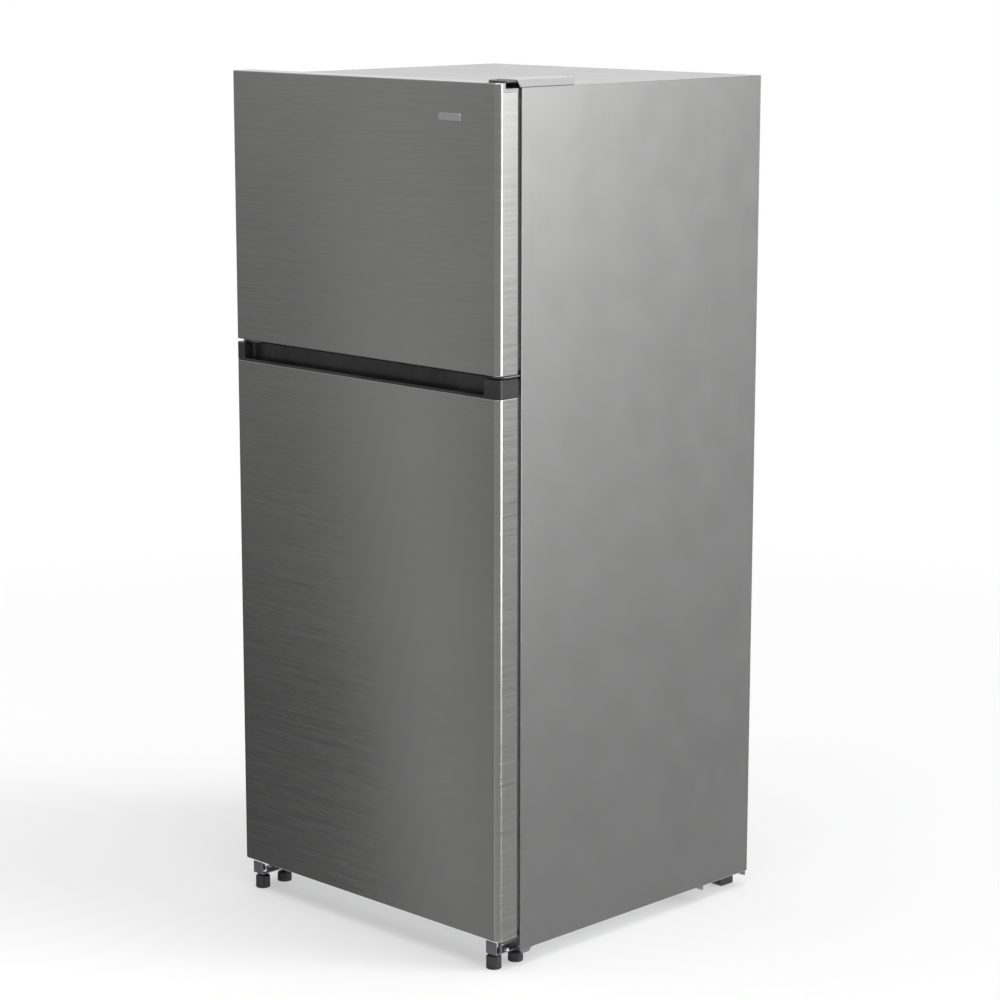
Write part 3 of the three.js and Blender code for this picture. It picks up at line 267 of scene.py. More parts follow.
# ---- Finishes -------------------------------------------------------------------------------
@dataclass(frozen=True)
class Finish:
    """A surface finish. Each kind below wires its own nodes into a Principled shader."""

    slot: str
    color: tuple[float, float, float]
    roughness: float = 0.4
    metallic: float = 0.0
    grade: str = "plain"

    @property
    def title(self) -> str:
        """The material's name."""
        return f"{self.grade} {type(self).__name__.lower()} {self.slot}"

    def wire(self, wiring: Wiring, shader: bpy.types.Node, place: bpy.types.NodeSocket) -> None:
        """Wires what varies over the surface; the base finish is not used by itself."""
        raise NotImplementedError

    def material(self) -> bpy.types.Material:
        """Returns the Blender material, made on first use."""
        made = bpy.data.materials.get(self.title)
        if made:
            return made
        material = bpy.data.materials.new(self.title)
        material.use_nodes = True
        material.node_tree.nodes.clear()
        wiring = Wiring(material.node_tree)
        shader = wiring.add("BsdfPrincipled", {"Metallic": self.metallic, "Roughness": self.roughness})
        output = wiring.add("OutputMaterial")
        wiring.tree.links.new(shader.outputs[0], output.inputs["Surface"])
        place = wiring.add("TexCoord").outputs["Object"]
        self.wire(wiring, shader, place)
        return material

    def shade(self, share: float) -> tuple[float, float, float]:
        """The finish's colour times a share."""
        return tuple(min(1.0, channel * share) for channel in self.color)

    def relief(self, wiring: Wiring, shader: bpy.types.Node, height: bpy.types.NodeSocket,
               depth: float, strength: float = 1.0) -> None:
        """Gives the shader a bump of a height value, with its depth in metres."""
        bump = wiring.add("Bump", {"Height": height, "Distance": depth, "Strength": strength})
        wiring.tree.links.new(bump.outputs["Normal"], shader.inputs["Normal"])


@dataclass(frozen=True)
class BrushedSteel(Finish):
    """Stainless steel brushed in one direction, under a thin clear film."""

    scales: tuple[float, float, float] = (7.0, 7.0, 1500.0)
    contrast: float = 0.12
    clouding: float = 0.03
    spreading: float = 0.0

    def wire(self, wiring: Wiring, shader: bpy.types.Node, place: bpy.types.NodeSocket) -> None:
        """Lines change the colour, the roughness and a very shallow relief."""
        shader.inputs["Anisotropic"].default_value = self.spreading
        shader.inputs["Anisotropic Rotation"].default_value = 0.25
        lines = BrushLines().use(wiring, place, Side_Scale=self.scales[0], Depth_Scale=self.scales[1],
                                 Height_Scale=self.scales[2])
        dust = SettledDust().use(wiring, place, Cover=0.05)
        swing, drift = self.contrast * 4, self.clouding * 4
        tone = wiring.math("ADD", wiring.spread(lines.outputs["Lines"], 0.5 - swing, 0.5 + swing, 0.3, 0.7),
                           wiring.spread(lines.outputs["Clouds"], -drift, drift, 0.3, 0.7))
        color = wiring.tint(tone, self.shade(1.0 - self.contrast), self.shade(1.0 + self.contrast))
        dusty = wiring.mix(dust.outputs["Dust"], color, (0.5, 0.49, 0.47, 1.0))
        wiring.tree.links.new(dusty, shader.inputs["Base Color"])
        rough = wiring.spread(lines.outputs["Lines"], self.roughness - 0.05, self.roughness + 0.05, 0.3, 0.7)
        wiring.tree.links.new(rough, shader.inputs["Roughness"])
        self.relief(wiring, shader, lines.outputs["Lines"], 0.00002, 0.6)


@dataclass(frozen=True)
class CoatedSteel(Finish):
    """Sheet steel with a baked coat: a slightly pebbled surface and streaks from the rolls."""

    streak: tuple[float, float, float] = (160.0, 160.0, 5.0)
    contrast: float = 0.05
    pebble: float = 0.00003
    uneven: float = 0.05

    def wire(self, wiring: Wiring, shader: bpy.types.Node, place: bpy.types.NodeSocket) -> None:
        """Upright streaks in the colour, pebbles in the relief, dust on top, and paler outer edges: a painted
        highlight that also stands for wear.
        """
        streaks = BrushLines().use(wiring, place, Side_Scale=self.streak[0], Depth_Scale=self.streak[1],
                                   Height_Scale=self.streak[2])
        dust = SettledDust().use(wiring, place, Cover=0.06)
        tone = wiring.math("ADD", wiring.spread(streaks.outputs["Lines"], 0.0, 0.8, 0.3, 0.7),
                           wiring.spread(streaks.outputs["Clouds"], 0.0, 0.2, 0.3, 0.7))
        color = wiring.tint(tone, self.shade(1.0 - self.contrast), self.shade(1.0 + self.contrast))
        dusty = wiring.mix(dust.outputs["Dust"], color, (0.52, 0.51, 0.49, 1.0))
        # paler outer edges: painted highlight, also standing for wear
        edges = wiring.math("MULTIPLY", dust.outputs["Worn Edge"], 0.12)
        edge_sheen_and_wear = wiring.mix(edges, dusty, (0.6, 0.6, 0.6, 1.0))
        wiring.tree.links.new(edge_sheen_and_wear, shader.inputs["Base Color"])
        rough = wiring.spread(streaks.outputs["Lines"], self.roughness - self.uneven,
                              self.roughness + self.uneven, 0.3, 0.7)
        wiring.tree.links.new(rough, shader.inputs["Roughness"])
        pebbles = wiring.add("TexNoise", {"Vector": place, "Scale": 700.0, "Detail": 1.0})
        self.relief(wiring, shader, pebbles.outputs["Fac"], self.pebble, 0.5)


@dataclass(frozen=True)
class SpangledZinc(Finish):
    """Hot-dip galvanised sheet with its frosty crystals."""

    crystal: float = 95.0

    def wire(self, wiring: Wiring, shader: bpy.types.Node, place: bpy.types.NodeSocket) -> None:
        """Crystals change colour and roughness from cell to cell."""
        cells = wiring.add("TexVoronoi", {"Vector": place, "Scale": self.crystal, "Randomness": 1.0})
        grey = wiring.add("RGBToBW", {0: cells.outputs["Color"]}).outputs[0]
        dust = SettledDust().use(wiring, place, Cover=0.2)
        color = wiring.tint(grey, self.shade(0.86), self.shade(1.08))
        dusty = wiring.mix(dust.outputs["Dust"], color, (0.4, 0.38, 0.35, 1.0))
        wiring.tree.links.new(dusty, shader.inputs["Base Color"])
        wiring.tree.links.new(wiring.spread(grey, self.roughness - 0.08, self.roughness + 0.1),
                              shader.inputs["Roughness"])
        self.relief(wiring, shader, grey, 0.00001, 0.4)


@dataclass(frozen=True)
class MouldedPlastic(Finish):
    """Injection-moulded or vacuum-formed plastic with a faint grain."""

    grain_scale: float = 900.0
    grain_depth: float = 0.00003
    coat: float = 0.0
    dust: float = 0.05

    def wire(self, wiring: Wiring, shader: bpy.types.Node, place: bpy.types.NodeSocket) -> None:
        """Grain in the relief and roughness, a slow tone change, dust, and pale edges that are a painted
        highlight also standing for scuffs.
        """
        grain = MouldedGrain().use(wiring, place, Grain_Scale=self.grain_scale)
        dust = SettledDust().use(wiring, place, Cover=self.dust)
        color = wiring.tint(wiring.spread(grain.outputs["Tone"], 0.0, 1.0, 0.2, 0.8),
                            self.shade(0.975), self.shade(1.015))
        dusty = wiring.mix(dust.outputs["Dust"], color, (0.5, 0.49, 0.47, 1.0))
        # pale outer edges: painted highlight, also standing for scuffs
        edges = wiring.math("MULTIPLY", dust.outputs["Worn Edge"], 0.04)
        edge_sheen_and_wear = wiring.mix(edges, dusty, (0.65, 0.65, 0.65, 1.0))
        wiring.tree.links.new(edge_sheen_and_wear, shader.inputs["Base Color"])
        rough = wiring.spread(grain.outputs["Tone"], self.roughness - 0.02, self.roughness + 0.02, 0.2, 0.8)
        wiring.tree.links.new(rough, shader.inputs["Roughness"])
        shader.inputs["Coat Weight"].default_value = self.coat
        self.relief(wiring, shader, grain.outputs["Grain"], self.grain_depth, 0.6)


@dataclass(frozen=True)
class ClearMoulding(Finish):
    """See-through moulded plastic or sheet glass."""

    clearness: float = 0.85
    ior: float = 1.45
    alpha: float = 1.0

    def wire(self, wiring: Wiring, shader: bpy.types.Node, place: bpy.types.NodeSocket) -> None:
        """A faint haze in the roughness and slow waves in the surface."""
        grain = MouldedGrain().use(wiring, place, Grain_Scale=300.0)
        shader.inputs["Transmission Weight"].default_value = self.clearness
        shader.inputs["IOR"].default_value = self.ior
        shader.inputs["Alpha"].default_value = self.alpha
        color = wiring.tint(wiring.spread(grain.outputs["Tone"], 0.0, 1.0, 0.3, 0.7),
                            self.shade(0.97), self.shade(1.02))
        wiring.tree.links.new(color, shader.inputs["Base Color"])
        rough = wiring.spread(grain.outputs["Grain"], self.roughness, self.roughness + 0.06, 0.3, 0.7)
        wiring.tree.links.new(rough, shader.inputs["Roughness"])
        self.relief(wiring, shader, grain.outputs["Tone"], 0.0002, 0.3)


@dataclass(frozen=True)
class LitLens(Finish):
    """Frosted lens of a lamp that is on."""

    glow: float = 1.2

    def wire(self, wiring: Wiring, shader: bpy.types.Node, place: bpy.types.NodeSocket) -> None:
        """A warm glow that varies a little with the frosting."""
        grain = MouldedGrain().use(wiring, place, Grain_Scale=500.0)
        color = wiring.tint(grain.outputs["Tone"], self.shade(0.95), self.shade(1.0))
        wiring.tree.links.new(color, shader.inputs["Base Color"])
        wiring.tree.links.new(color, shader.inputs["Emission Color"])
        shader.inputs["Emission Strength"].default_value = self.glow
        self.relief(wiring, shader, grain.outputs["Grain"], 0.00005)


@dataclass(frozen=True)
class PouredFoam(Finish):
    """Rigid foam with its open cut cells."""

    def wire(self, wiring: Wiring, shader: bpy.types.Node, place: bpy.types.NodeSocket) -> None:
        """Cells in the colour and the relief."""
        cells = wiring.add("TexVoronoi", {"Vector": place, "Scale": 260.0})
        color = wiring.tint(cells.outputs["Distance"], self.shade(1.05), self.shade(0.8))
        wiring.tree.links.new(color, shader.inputs["Base Color"])
        self.relief(wiring, shader, cells.outputs["Distance"], 0.0006)


DOOR_STEEL = BrushedSteel("door_steel", (0.44, 0.44, 0.435), roughness=0.14, metallic=1.0, spreading=0.8,
                          scales=(28.0, 28.0, 1700.0), contrast=0.11)
BADGE_STEEL = BrushedSteel("side_steel", (0.66, 0.66, 0.66), roughness=0.28, metallic=1.0, contrast=0.04)
SIDE_STEEL = CoatedSteel("side_steel", (0.33, 0.33, 0.327), roughness=0.22, metallic=0.95, contrast=0.025,
                         streak=(500.0, 500.0, 60.0), pebble=0.000012, uneven=0.015)
TOP_STEEL = CoatedSteel("top_steel", (0.36, 0.36, 0.36), roughness=0.5, metallic=0.2,
                        streak=(40.0, 40.0, 40.0))
ZINC_STEEL = SpangledZinc("zinc_steel", (0.55, 0.56, 0.57), roughness=0.42, metallic=0.85)
FOAM = PouredFoam("foam", (0.86, 0.78, 0.55), roughness=0.95)
WHITE_PLASTIC = MouldedPlastic("white_plastic", (0.9, 0.91, 0.92), roughness=0.3, grain_scale=420.0)
SHELF_GLASS = ClearMoulding("shelf_glass", (0.80, 0.93, 0.90), roughness=0.02, clearness=0.9, alpha=0.5)
CLEAR_PLASTIC = ClearMoulding("clear_plastic", (0.90, 0.95, 0.97), roughness=0.06, clearness=0.55, alpha=0.45)
LAMP_PLASTIC = LitLens("lamp_plastic", (0.96, 0.95, 0.9), roughness=0.3)
GREY_PLASTIC = MouldedPlastic("grey_plastic", (0.40, 0.40, 0.412), roughness=0.45)
BLACK_PLASTIC = MouldedPlastic("black_plastic", (0.011, 0.011, 0.0108), roughness=0.26)
FOOT_PLASTIC = MouldedPlastic("foot_plastic", (0.022, 0.022, 0.024), roughness=0.55, grain_scale=500.0)
# darker copy of the grey plastic for the door bottom caps: painted shade for the shadow under and between the
# doors
CAP_PLASTIC_PAINTED_SHADE = MouldedPlastic("grey_plastic", (0.10, 0.10, 0.102), roughness=0.4, grade="dark")
GASKET_RUBBER = MouldedPlastic("gasket_rubber", (0.50, 0.51, 0.52), roughness=0.7)
# near-black strip at the hinge cover's foot: painted shade, not a real gasket
PAINTED_SHADE_STRIP = MouldedPlastic("gasket_rubber", (0.03, 0.03, 0.03), roughness=0.7, grade="dark")
FIN_ALUMINIUM = BrushedSteel("fin_aluminium", (0.6, 0.62, 0.64), roughness=0.35, metallic=1.0,
                             scales=(30.0, 300.0, 30.0))
BLACK_ENAMEL = CoatedSteel("black_enamel", (0.02, 0.02, 0.02), roughness=0.35, contrast=0.2)
HINGE_STEEL = CoatedSteel("hinge_steel", (0.08, 0.08, 0.085), roughness=0.42, metallic=0.5)
BRACKET_STEEL = CoatedSteel("bracket_steel", (0.19, 0.185, 0.21), roughness=0.4, metallic=0.6)


# ---- Modelling ------------------------------------------------------------------------------
class Form:
    """A mesh being shaped, as at the bench, with edit-mode operators and applied modifiers."""

    def __init__(self, obj: bpy.types.Object) -> None:
        """Takes the mesh object that is shaped."""
        self.obj = obj

    # -- starts
    @staticmethod
    def release() -> None:
        """Deselects everything, so that an operator acts on one piece only."""
        bpy.ops.object.select_all(action="DESELECT")

    @classmethod
    def _settled(cls, name: str) -> "Form":
        """Names the new primitive and puts its place and size into its mesh."""
        obj = bpy.context.object
        obj.name = name
        bpy.ops.object.transform_apply(location=True, rotation=True, scale=True)
        return cls(obj)

    @classmethod
    def block(cls, name: str, low: Point, high: Point) -> "Form":
        """Starts from a box between two corners."""
        cls.release()
        size = Vector(high) - Vector(low)
        middle = (Vector(high) + Vector(low)) / 2
        bpy.ops.mesh.primitive_cube_add(size=1.0, location=middle, scale=size)
        return cls._settled(name)

    @classmethod
    def rod(cls, name: str, radius: float, start: Point, end: Point, sides: int = 40) -> "Form":
        """Starts from a round bar between two points."""
        cls.release()
        run = Vector(end) - Vector(start)
        turn = run.to_track_quat("Z", "Y").to_euler()
        middle = (Vector(end) + Vector(start)) / 2
        bpy.ops.mesh.primitive_cylinder_add(vertices=sides, radius=radius, depth=run.length,
                                            location=middle, rotation=turn)
        return cls._settled(name)

    @classmethod
    def ring(cls, name: str, radius: float, wire: float, middle: Point) -> "Form":
        """Starts from a round-section ring that lies flat."""
        cls.release()
        bpy.ops.mesh.primitive_torus_add(major_radius=radius, minor_radius=wire, location=middle,
                                         major_segments=48, minor_segments=12)
        return cls._settled(name)

    @classmethod
    def tube(cls, name: str, points: Sequence[Point], radius: float, bend_radius: float = 0.0) -> "Form":
        """Starts from a round tube along points, with each corner bent to a radius.

        Args:
            name: the piece's name.
            points: corners of the run, in metres.
            radius: the tube's outer radius.
            bend_radius: the radius of the bends at the inner corners.

        Returns:
            The tube as a closed mesh.
        """
        cls.release()
        curve = bpy.data.curves.new(name, "CURVE")
        curve.dimensions = "3D"
        curve.bevel_depth = radius
        curve.bevel_resolution = 3
        curve.use_fill_caps = True
        line = curve.splines.new("POLY")
        route = bent_route([Vector(p) for p in points], bend_radius)
        line.points.add(len(route) - 1)
        for knot, place in zip(line.points, route):
            knot.co = (*place, 1.0)
        obj = bpy.data.objects.new(name, curve)
        bpy.context.scene.collection.objects.link(obj)
        bpy.context.view_layer.objects.active = obj
        obj.select_set(True)
        bpy.ops.object.convert(target="MESH")
        form = cls(bpy.context.object)
        return form._edit(lambda: bpy.ops.mesh.remove_doubles(threshold=1e-6), everything=True)

    @classmethod
    def traced(cls, name: str, node: str) -> "Form":
        """Starts from a CAD node's outline: a copy, merged, with its flat faces made whole."""
        cls.release()
        source = frame["nodes"][node]
        obj = bpy.data.objects.new(name, source.data.copy())
        obj.data.materials.clear()
        bpy.context.scene.collection.objects.link(obj)
        form = cls(obj)
        form._edit(lambda: bpy.ops.mesh.remove_doubles(threshold=1e-6), everything=True)
        return form.flatten()

    def twin(self, name: str, offset: Point = (0.0, 0.0, 0.0)) -> "Form":
        """Copies the piece with a mesh of its own, moved by an offset."""
        obj = self.obj.copy()
        obj.data = self.obj.data.copy()
        obj.name = name
        bpy.context.scene.collection.objects.link(obj)
        form = Form(obj)
        form._hold()
        bpy.ops.transform.translate(value=offset)
        bpy.ops.object.transform_apply(location=True, rotation=True, scale=True)
        return form

    def mirrored(self, name: str) -> "Form":
        """Copies the piece to the other side of the middle, with its faces turned outwards again."""
        form = self.twin(name)
        for vertex in form.obj.data.vertices:
            vertex.co.x = -vertex.co.x
        return form._edit(lambda: bpy.ops.mesh.normals_make_consistent(inside=False), everything=True)

    def move(self, offset: Point) -> "Form":
        """Moves the whole piece."""
        self._hold()
        bpy.ops.transform.translate(value=offset)
        bpy.ops.object.transform_apply(location=True, rotation=True, scale=True)
        return self

    def turn(self, angle: float, axis: Axis) -> "Form":
        """Turns the whole piece about an axis through the origin, by an angle in radians."""
        self._hold()
        bpy.ops.transform.rotate(value=-angle, orient_axis=axis.name, center_override=(0.0, 0.0, 0.0))
        bpy.ops.object.transform_apply(location=True, rotation=True, scale=True)
        return self

    # -- selecting
    def _hold(self) -> None:
        """Makes this piece the only one selected, and the active one."""
        self.release()
        self.obj.select_set(True)
        bpy.context.view_layer.objects.active = self.obj

    def _edit(self, action: Callable[[], object], edges: EdgeTest | None = None,
              faces: FaceTest | None = None, everything: bool = False) -> "Form":
        """Runs an edit-mode operator on what a test picks.

        Args:
            action: the operator call.
            edges: says of an edge's two ends whether it is picked.
            faces: says of a face's centre and normal whether it is picked.
            everything: picks the whole mesh.

        Returns:
            This piece.
        """
        self._hold()
        bpy.ops.object.mode_set(mode="EDIT")
        mesh = bmesh.from_edit_mesh(self.obj.data)
        bpy.ops.mesh.select_mode(type="FACE" if faces else "EDGE")
        bpy.ops.mesh.select_all(action="SELECT" if everything else "DESELECT")
        picked = 0
        if edges:
            for edge in mesh.edges:
                if edges(edge.verts[0].co, edge.verts[1].co):
                    edge.select_set(True)
                    picked += 1
        if faces:
            for face in mesh.faces:
                if faces(face.calc_center_bounds(), face.normal):
                    face.select_set(True)
                    picked += 1
        bmesh.update_edit_mesh(self.obj.data)
        if picked or everything:
            action()
        else:
            LOG.warning("%s: a test picked nothing", self.obj.name)
        bpy.ops.object.mode_set(mode="OBJECT")
        return self

    # -- edit-mode steps
    def round_edges(self, test: EdgeTest, radius: float, segments: int = 4) -> "Form":
        """Rounds the picked edges."""
        return self._edit(lambda: bpy.ops.mesh.bevel(offset=radius, offset_type="OFFSET", segments=segments,
                                                     profile=0.5, affect="EDGES", clamp_overlap=True),
                          edges=test)

    def inset(self, test: FaceTest, width: float, rise: float = 0.0) -> "Form":
        """Insets the picked faces by a width, raised by rise along their normals."""
        return self._edit(lambda: bpy.ops.mesh.inset(thickness=width, depth=rise), faces=test)

    def remove(self, test: FaceTest) -> "Form":
        """Removes the picked faces."""
        return self._edit(lambda: bpy.ops.mesh.delete(type="FACE"), faces=test)

    def shift(self, test: EdgeTest, move: Point) -> "Form":
        """Moves the picked edges."""
        return self._edit(lambda: bpy.ops.transform.translate(value=move), edges=test)

    def flatten(self) -> "Form":
        """Makes whole faces of what lies in one plane."""
        return self._edit(lambda: bpy.ops.mesh.dissolve_limited(angle_limit=math.radians(0.5)),
                          everything=True)

    def slice(self, axis: Axis, *levels: float) -> "Form":
        """Cuts the whole mesh along planes square to an axis, leaving its faces in place."""
        for level in levels:
            point = axis.vector * level
            self._edit(lambda: bpy.ops.mesh.bisect(plane_co=point, plane_no=axis.vector), everything=True)
        return self

    def steps(self, normal: Point, *moves: tuple[float, float]) -> "Form":
        """Shapes one end by steps of (inset, rise) on the outermost face with that normal."""
        way = Vector(normal)
        for width, rise in moves:
            end = max(way.dot(vertex.co) for vertex in self.obj.data.vertices)
            self.inset(lambda centre, face: face.dot(way) > 0.99 and way.dot(centre) > end - HAIR,
                       width, rise)
        return self

    # -- modifiers
    def modify(self, kind: str, **settings: object) -> "Form":
        """Adds a modifier, sets it and applies it."""
        self._hold()
        modifier = self.obj.modifiers.new(kind.lower(), kind)
        for key, value in settings.items():
            setattr(modifier, key, value)
        bpy.ops.object.modifier_apply(modifier=modifier.name)
        return self

    def shell(self, thickness: float) -> "Form":
        """Gives an open skin its thickness, inwards."""
        return self.modify("SOLIDIFY", thickness=thickness, offset=-1.0, use_even_offset=True)

    def soften(self, width: float, segments: int = 2, angle: float = 34.0) -> "Form":
        """Rounds every edge sharper than an angle."""
        return self.modify("BEVEL", width=width, segments=segments, limit_method="ANGLE",
                           angle_limit=math.radians(angle), use_clamp_overlap=True)

    def _combine(self, other: "Form", operation: str) -> None:
        """Joins or cuts with another piece, which is used up."""
        self.modify("BOOLEAN", object=other.obj, operation=operation, solver="EXACT")
        bpy.data.objects.remove(other.obj)

    def carve(self, *tools: "Form") -> "Form":
        """Cuts other pieces out of this one; they are used up."""
        for tool in tools:
            self._combine(tool, "DIFFERENCE")
        return self

    def weld(self, *others: "Form") -> "Form":
        """Joins other solids to this one as one closed body; they are used up."""
        for other in others:
            self._combine(other, "UNION")
        return self

    def gather(self, *others: "Form") -> "Form":
        """Puts separate solids into this piece's mesh as they are."""
        self._hold()
        for other in others:
            other.obj.select_set(True)
        bpy.ops.object.join()
        return self

    # -- finishing
    def dress(self, finish: Finish, body: str, *nodes: str, smooth: float = 36.0) -> "Form":
        """Finishes the piece: shading, material, body and the CAD nodes that it stands for.

        Args:
            finish: the surface finish.
            body: the CAD body that the piece moves with.
            nodes: CAD nodes that the piece replaces.
            smooth: edges flatter than this many degrees are shaded smooth.

        Returns:
            This piece.
        """
        self._hold()
        bpy.ops.object.shade_smooth_by_angle(angle=math.radians(smooth))
        self.modify("WEIGHTED_NORMAL", keep_sharp=True, weight=80)
        self.obj.data.materials.clear()
        self.obj.data.materials.append(finish.material())
        if nodes:
            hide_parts(*nodes)
        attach(self.obj, body)
        LOG.info("%s rides on %s: %d faces", self.obj.name, body, len(self.obj.data.polygons))
        return self


def bent_route(points: list[Vector], radius: float, steps: int = 8) -> list[Vector]:
    """Rounds the inner corners of a route to a radius.

    Args:
        points: the route's ends and corners.
        radius: the bend's radius; 0 leaves the corners sharp.
        steps: straight pieces in each bend.

    Returns:
        The route's points, with arcs in place of the corners.
    """
    route = [points[0]]
    for before, corner, after in zip(points, points[1:], points[2:]):
        back, ahead = (before - corner).normalized(), (after - corner).normalized()
        half = back.angle(ahead) / 2
        if radius <= 0 or half > math.radians(89):
            route.append(corner)
            continue
        reach = min(radius / math.tan(half), (before - corner).length * 0.49, (after - corner).length * 0.49)
        centre = corner + (back + ahead).normalized() * reach / math.cos(half)
        start, end = corner + back * reach - centre, corner + ahead * reach - centre
        for i in range(steps + 1):
            route.append(centre + start.normalized().slerp(end.normalized(), i / steps) * start.length)
    return route + [points[-1]]


@dataclass(frozen=True)
class Span:
    """The box of one or more CAD nodes at rest."""

    low: Vector
    high: Vector

    @classmethod
    def of(cls, *nodes: str) -> "Span":
        """The box round the named nodes."""
        boxes = [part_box(node) for node in nodes]
        low = Vector([min(box[0][i] for box in boxes) for i in range(3)])
        high = Vector([max(box[1][i] for box in boxes) for i in range(3)])
        return cls(low, high)

    @property
    def middle(self) -> Vector:
        """The box's centre."""
        return (self.low + self.high) / 2

    @property
    def size(self) -> Vector:
        """The box's length along each axis."""
        return self.high - self.low


def upright(a: Vector, b: Vector) -> bool:
    """Whether an edge runs straight up."""
    return abs(a.x - b.x) < HAIR and abs(a.y - b.y) < HAIR and abs(a.z - b.z) > HAIR


def lengthwise(a: Vector, b: Vector) -> bool:
    """Whether an edge runs from front to back."""
    return abs(a.y - b.y) > HAIR


def crosswise(a: Vector, b: Vector) -> bool:
    """Whether an edge runs from side to side."""
    return abs(a.x - b.x) > HAIR


def level_at(a: Vector, b: Vector, height: float) -> bool:
    """Whether an edge lies level at a height."""
    return abs(a.z - height) < HAIR and abs(b.z - height) < HAIR


# ---- Screws and pins ------------------------------------------------------------------------
@dataclass
class PanScrew:
    """Cross-recessed screw with a domed head and a washer, as a head that shows."""

    radius: float = 0.0042
    rise: float = 0.0022
    slot_width: float = 0.0011

    def build(self, name: str, place: Point, axis: Axis, way: int = 1) -> Form:
        """Makes one head.

        Args:
            name: the piece's name.
            place: the point on the surface under the head.
            axis: the direction that the screw points along.
            way: +1 if the head stands towards the axis's positive end, -1 otherwise.

        Returns:
            The head, with its washer and its cross.
        """
        out = axis.vector * way
        base = Vector(place)
        sunk = base - out * 0.0004
        head = Form.rod(name, self.radius, sunk, base + out * self.rise * 0.45, sides=24)
        head.steps(out, (self.radius * 0.12, self.rise * 0.3), (self.radius * 0.3, self.rise * 0.2))
        others = [other for other in Axis if other is not axis]
        for along, across in (others, others[::-1]):
            reach = along.vector * self.radius * 0.55 + across.vector * self.slot_width / 2
            tip, foot = base + out * self.rise * 1.5, base + out * self.rise * 0.35
            corners = [tip + reach, tip - reach, foot + reach, foot - reach]
            low = Vector([min(corner[i] for corner in corners) for i in range(3)])
            high = Vector([max(corner[i] for corner in corners) for i in range(3)])
            head.carve(Form.block("cross", low, high))
        washer = Form.rod("washer", self.radius * 1.45, sunk, base + out * 0.0007, sides=24)
        washer.soften(0.0002, 1)
        return head.gather(washer)


@dataclass
class HexBolt:
    """Hexagon head with a flange and a chamfered top."""

    across: float = 0.013
    rise: float = 0.0055

    def build(self, name: str, place: Point, axis: Axis, way: int = 1) -> Form:
        """Makes one head that stands out along an axis from a point on the surface."""
        out = axis.vector * way
        base = Vector(place)
        flange = Form.rod("flange", self.across * 0.68, base - out * 0.0003, base + out * 0.0012, sides=32)
        flange.soften(0.0004, 2)
        head = Form.rod(name, self.across / math.sqrt(3), base, base + out * self.rise, sides=6)
        return head.soften(0.0005, 2).gather(flange)


# ---- Doors ----------------------------------------------------------------------------------
def door_prism(name: str, low: Point, high: Point, front_radius: float, heel_radius: float) -> Form:
    """A block with a door's rounded upright edges.

    Args:
        name: the piece's name.
        low: lowest corner.
        high: highest corner.
        front_radius: radius of the two front edges.
        heel_radius: radius of the two edges next to the cabinet.

    Returns:
        The closed block.
    """
    middle = (low[1] + high[1]) / 2
    block = Form.block(name, low, high)
    block.round_edges(lambda a, b: upright(a, b) and a.y < middle, front_radius, 14)
    return block.round_edges(lambda a, b: upright(a, b) and a.y > middle, heel_radius, 5)


@dataclass
class DoorSkin:
    """Steel wrap of one door: rounded uprights, rolled hems and folds behind."""

    node: str
    body: str
    front_radius: float = 0.011
    heel_radius: float = 0.004
    sheet: float = 0.001
    fold: float = 0.012
    hem: float = 0.0019
    skirt_reach: float = 0.0418
    skirt_height: float = 0.0173
    skirt_inset: float = 0.0143

    def build(self, skirts: bool = False) -> None:
        """Makes the wrap, and with skirts leaves room for the top cap's ears."""
        span = Span.of(self.node)
        low, high, back = span.low, span.high, span.high.y
        reach = high.x - self.fold
        skin = door_prism(self.node + "_wrap", low, high, self.front_radius, self.heel_radius)
        for height in (low.z, high.z):
            skin.round_edges(lambda a, b: level_at(a, b, height), self.hem, 3)
        ends = [lambda centre, face, way=way: way * face.z > 0.99 for way in (-1, 1)]
        for end in ends:
            skin.inset(end, HAIR)
            skin.remove(lambda centre, face: abs(face.z) > 0.99 and abs(centre.x) < HAIR
                        and abs(centre.y - span.middle.y) < 0.01)
        skin.slice(Axis.X, -reach, reach)
        skin.remove(lambda centre, face: centre.y > back - self.hem and abs(centre.x) < reach)
        skin.shell(self.sheet)
        if skirts:
            for side in Side:
                inner, outer = high.x - self.skirt_inset, high.x + self.fold
                edges = sorted((side.value * inner, side.value * outer))
                foot = (edges[0], back - self.skirt_reach, high.z - self.skirt_height)
                skin.carve(Form.block("notch", foot, (edges[1], back + self.fold, high.z + self.fold)))
        skin.dress(DOOR_STEEL, self.body, self.node)


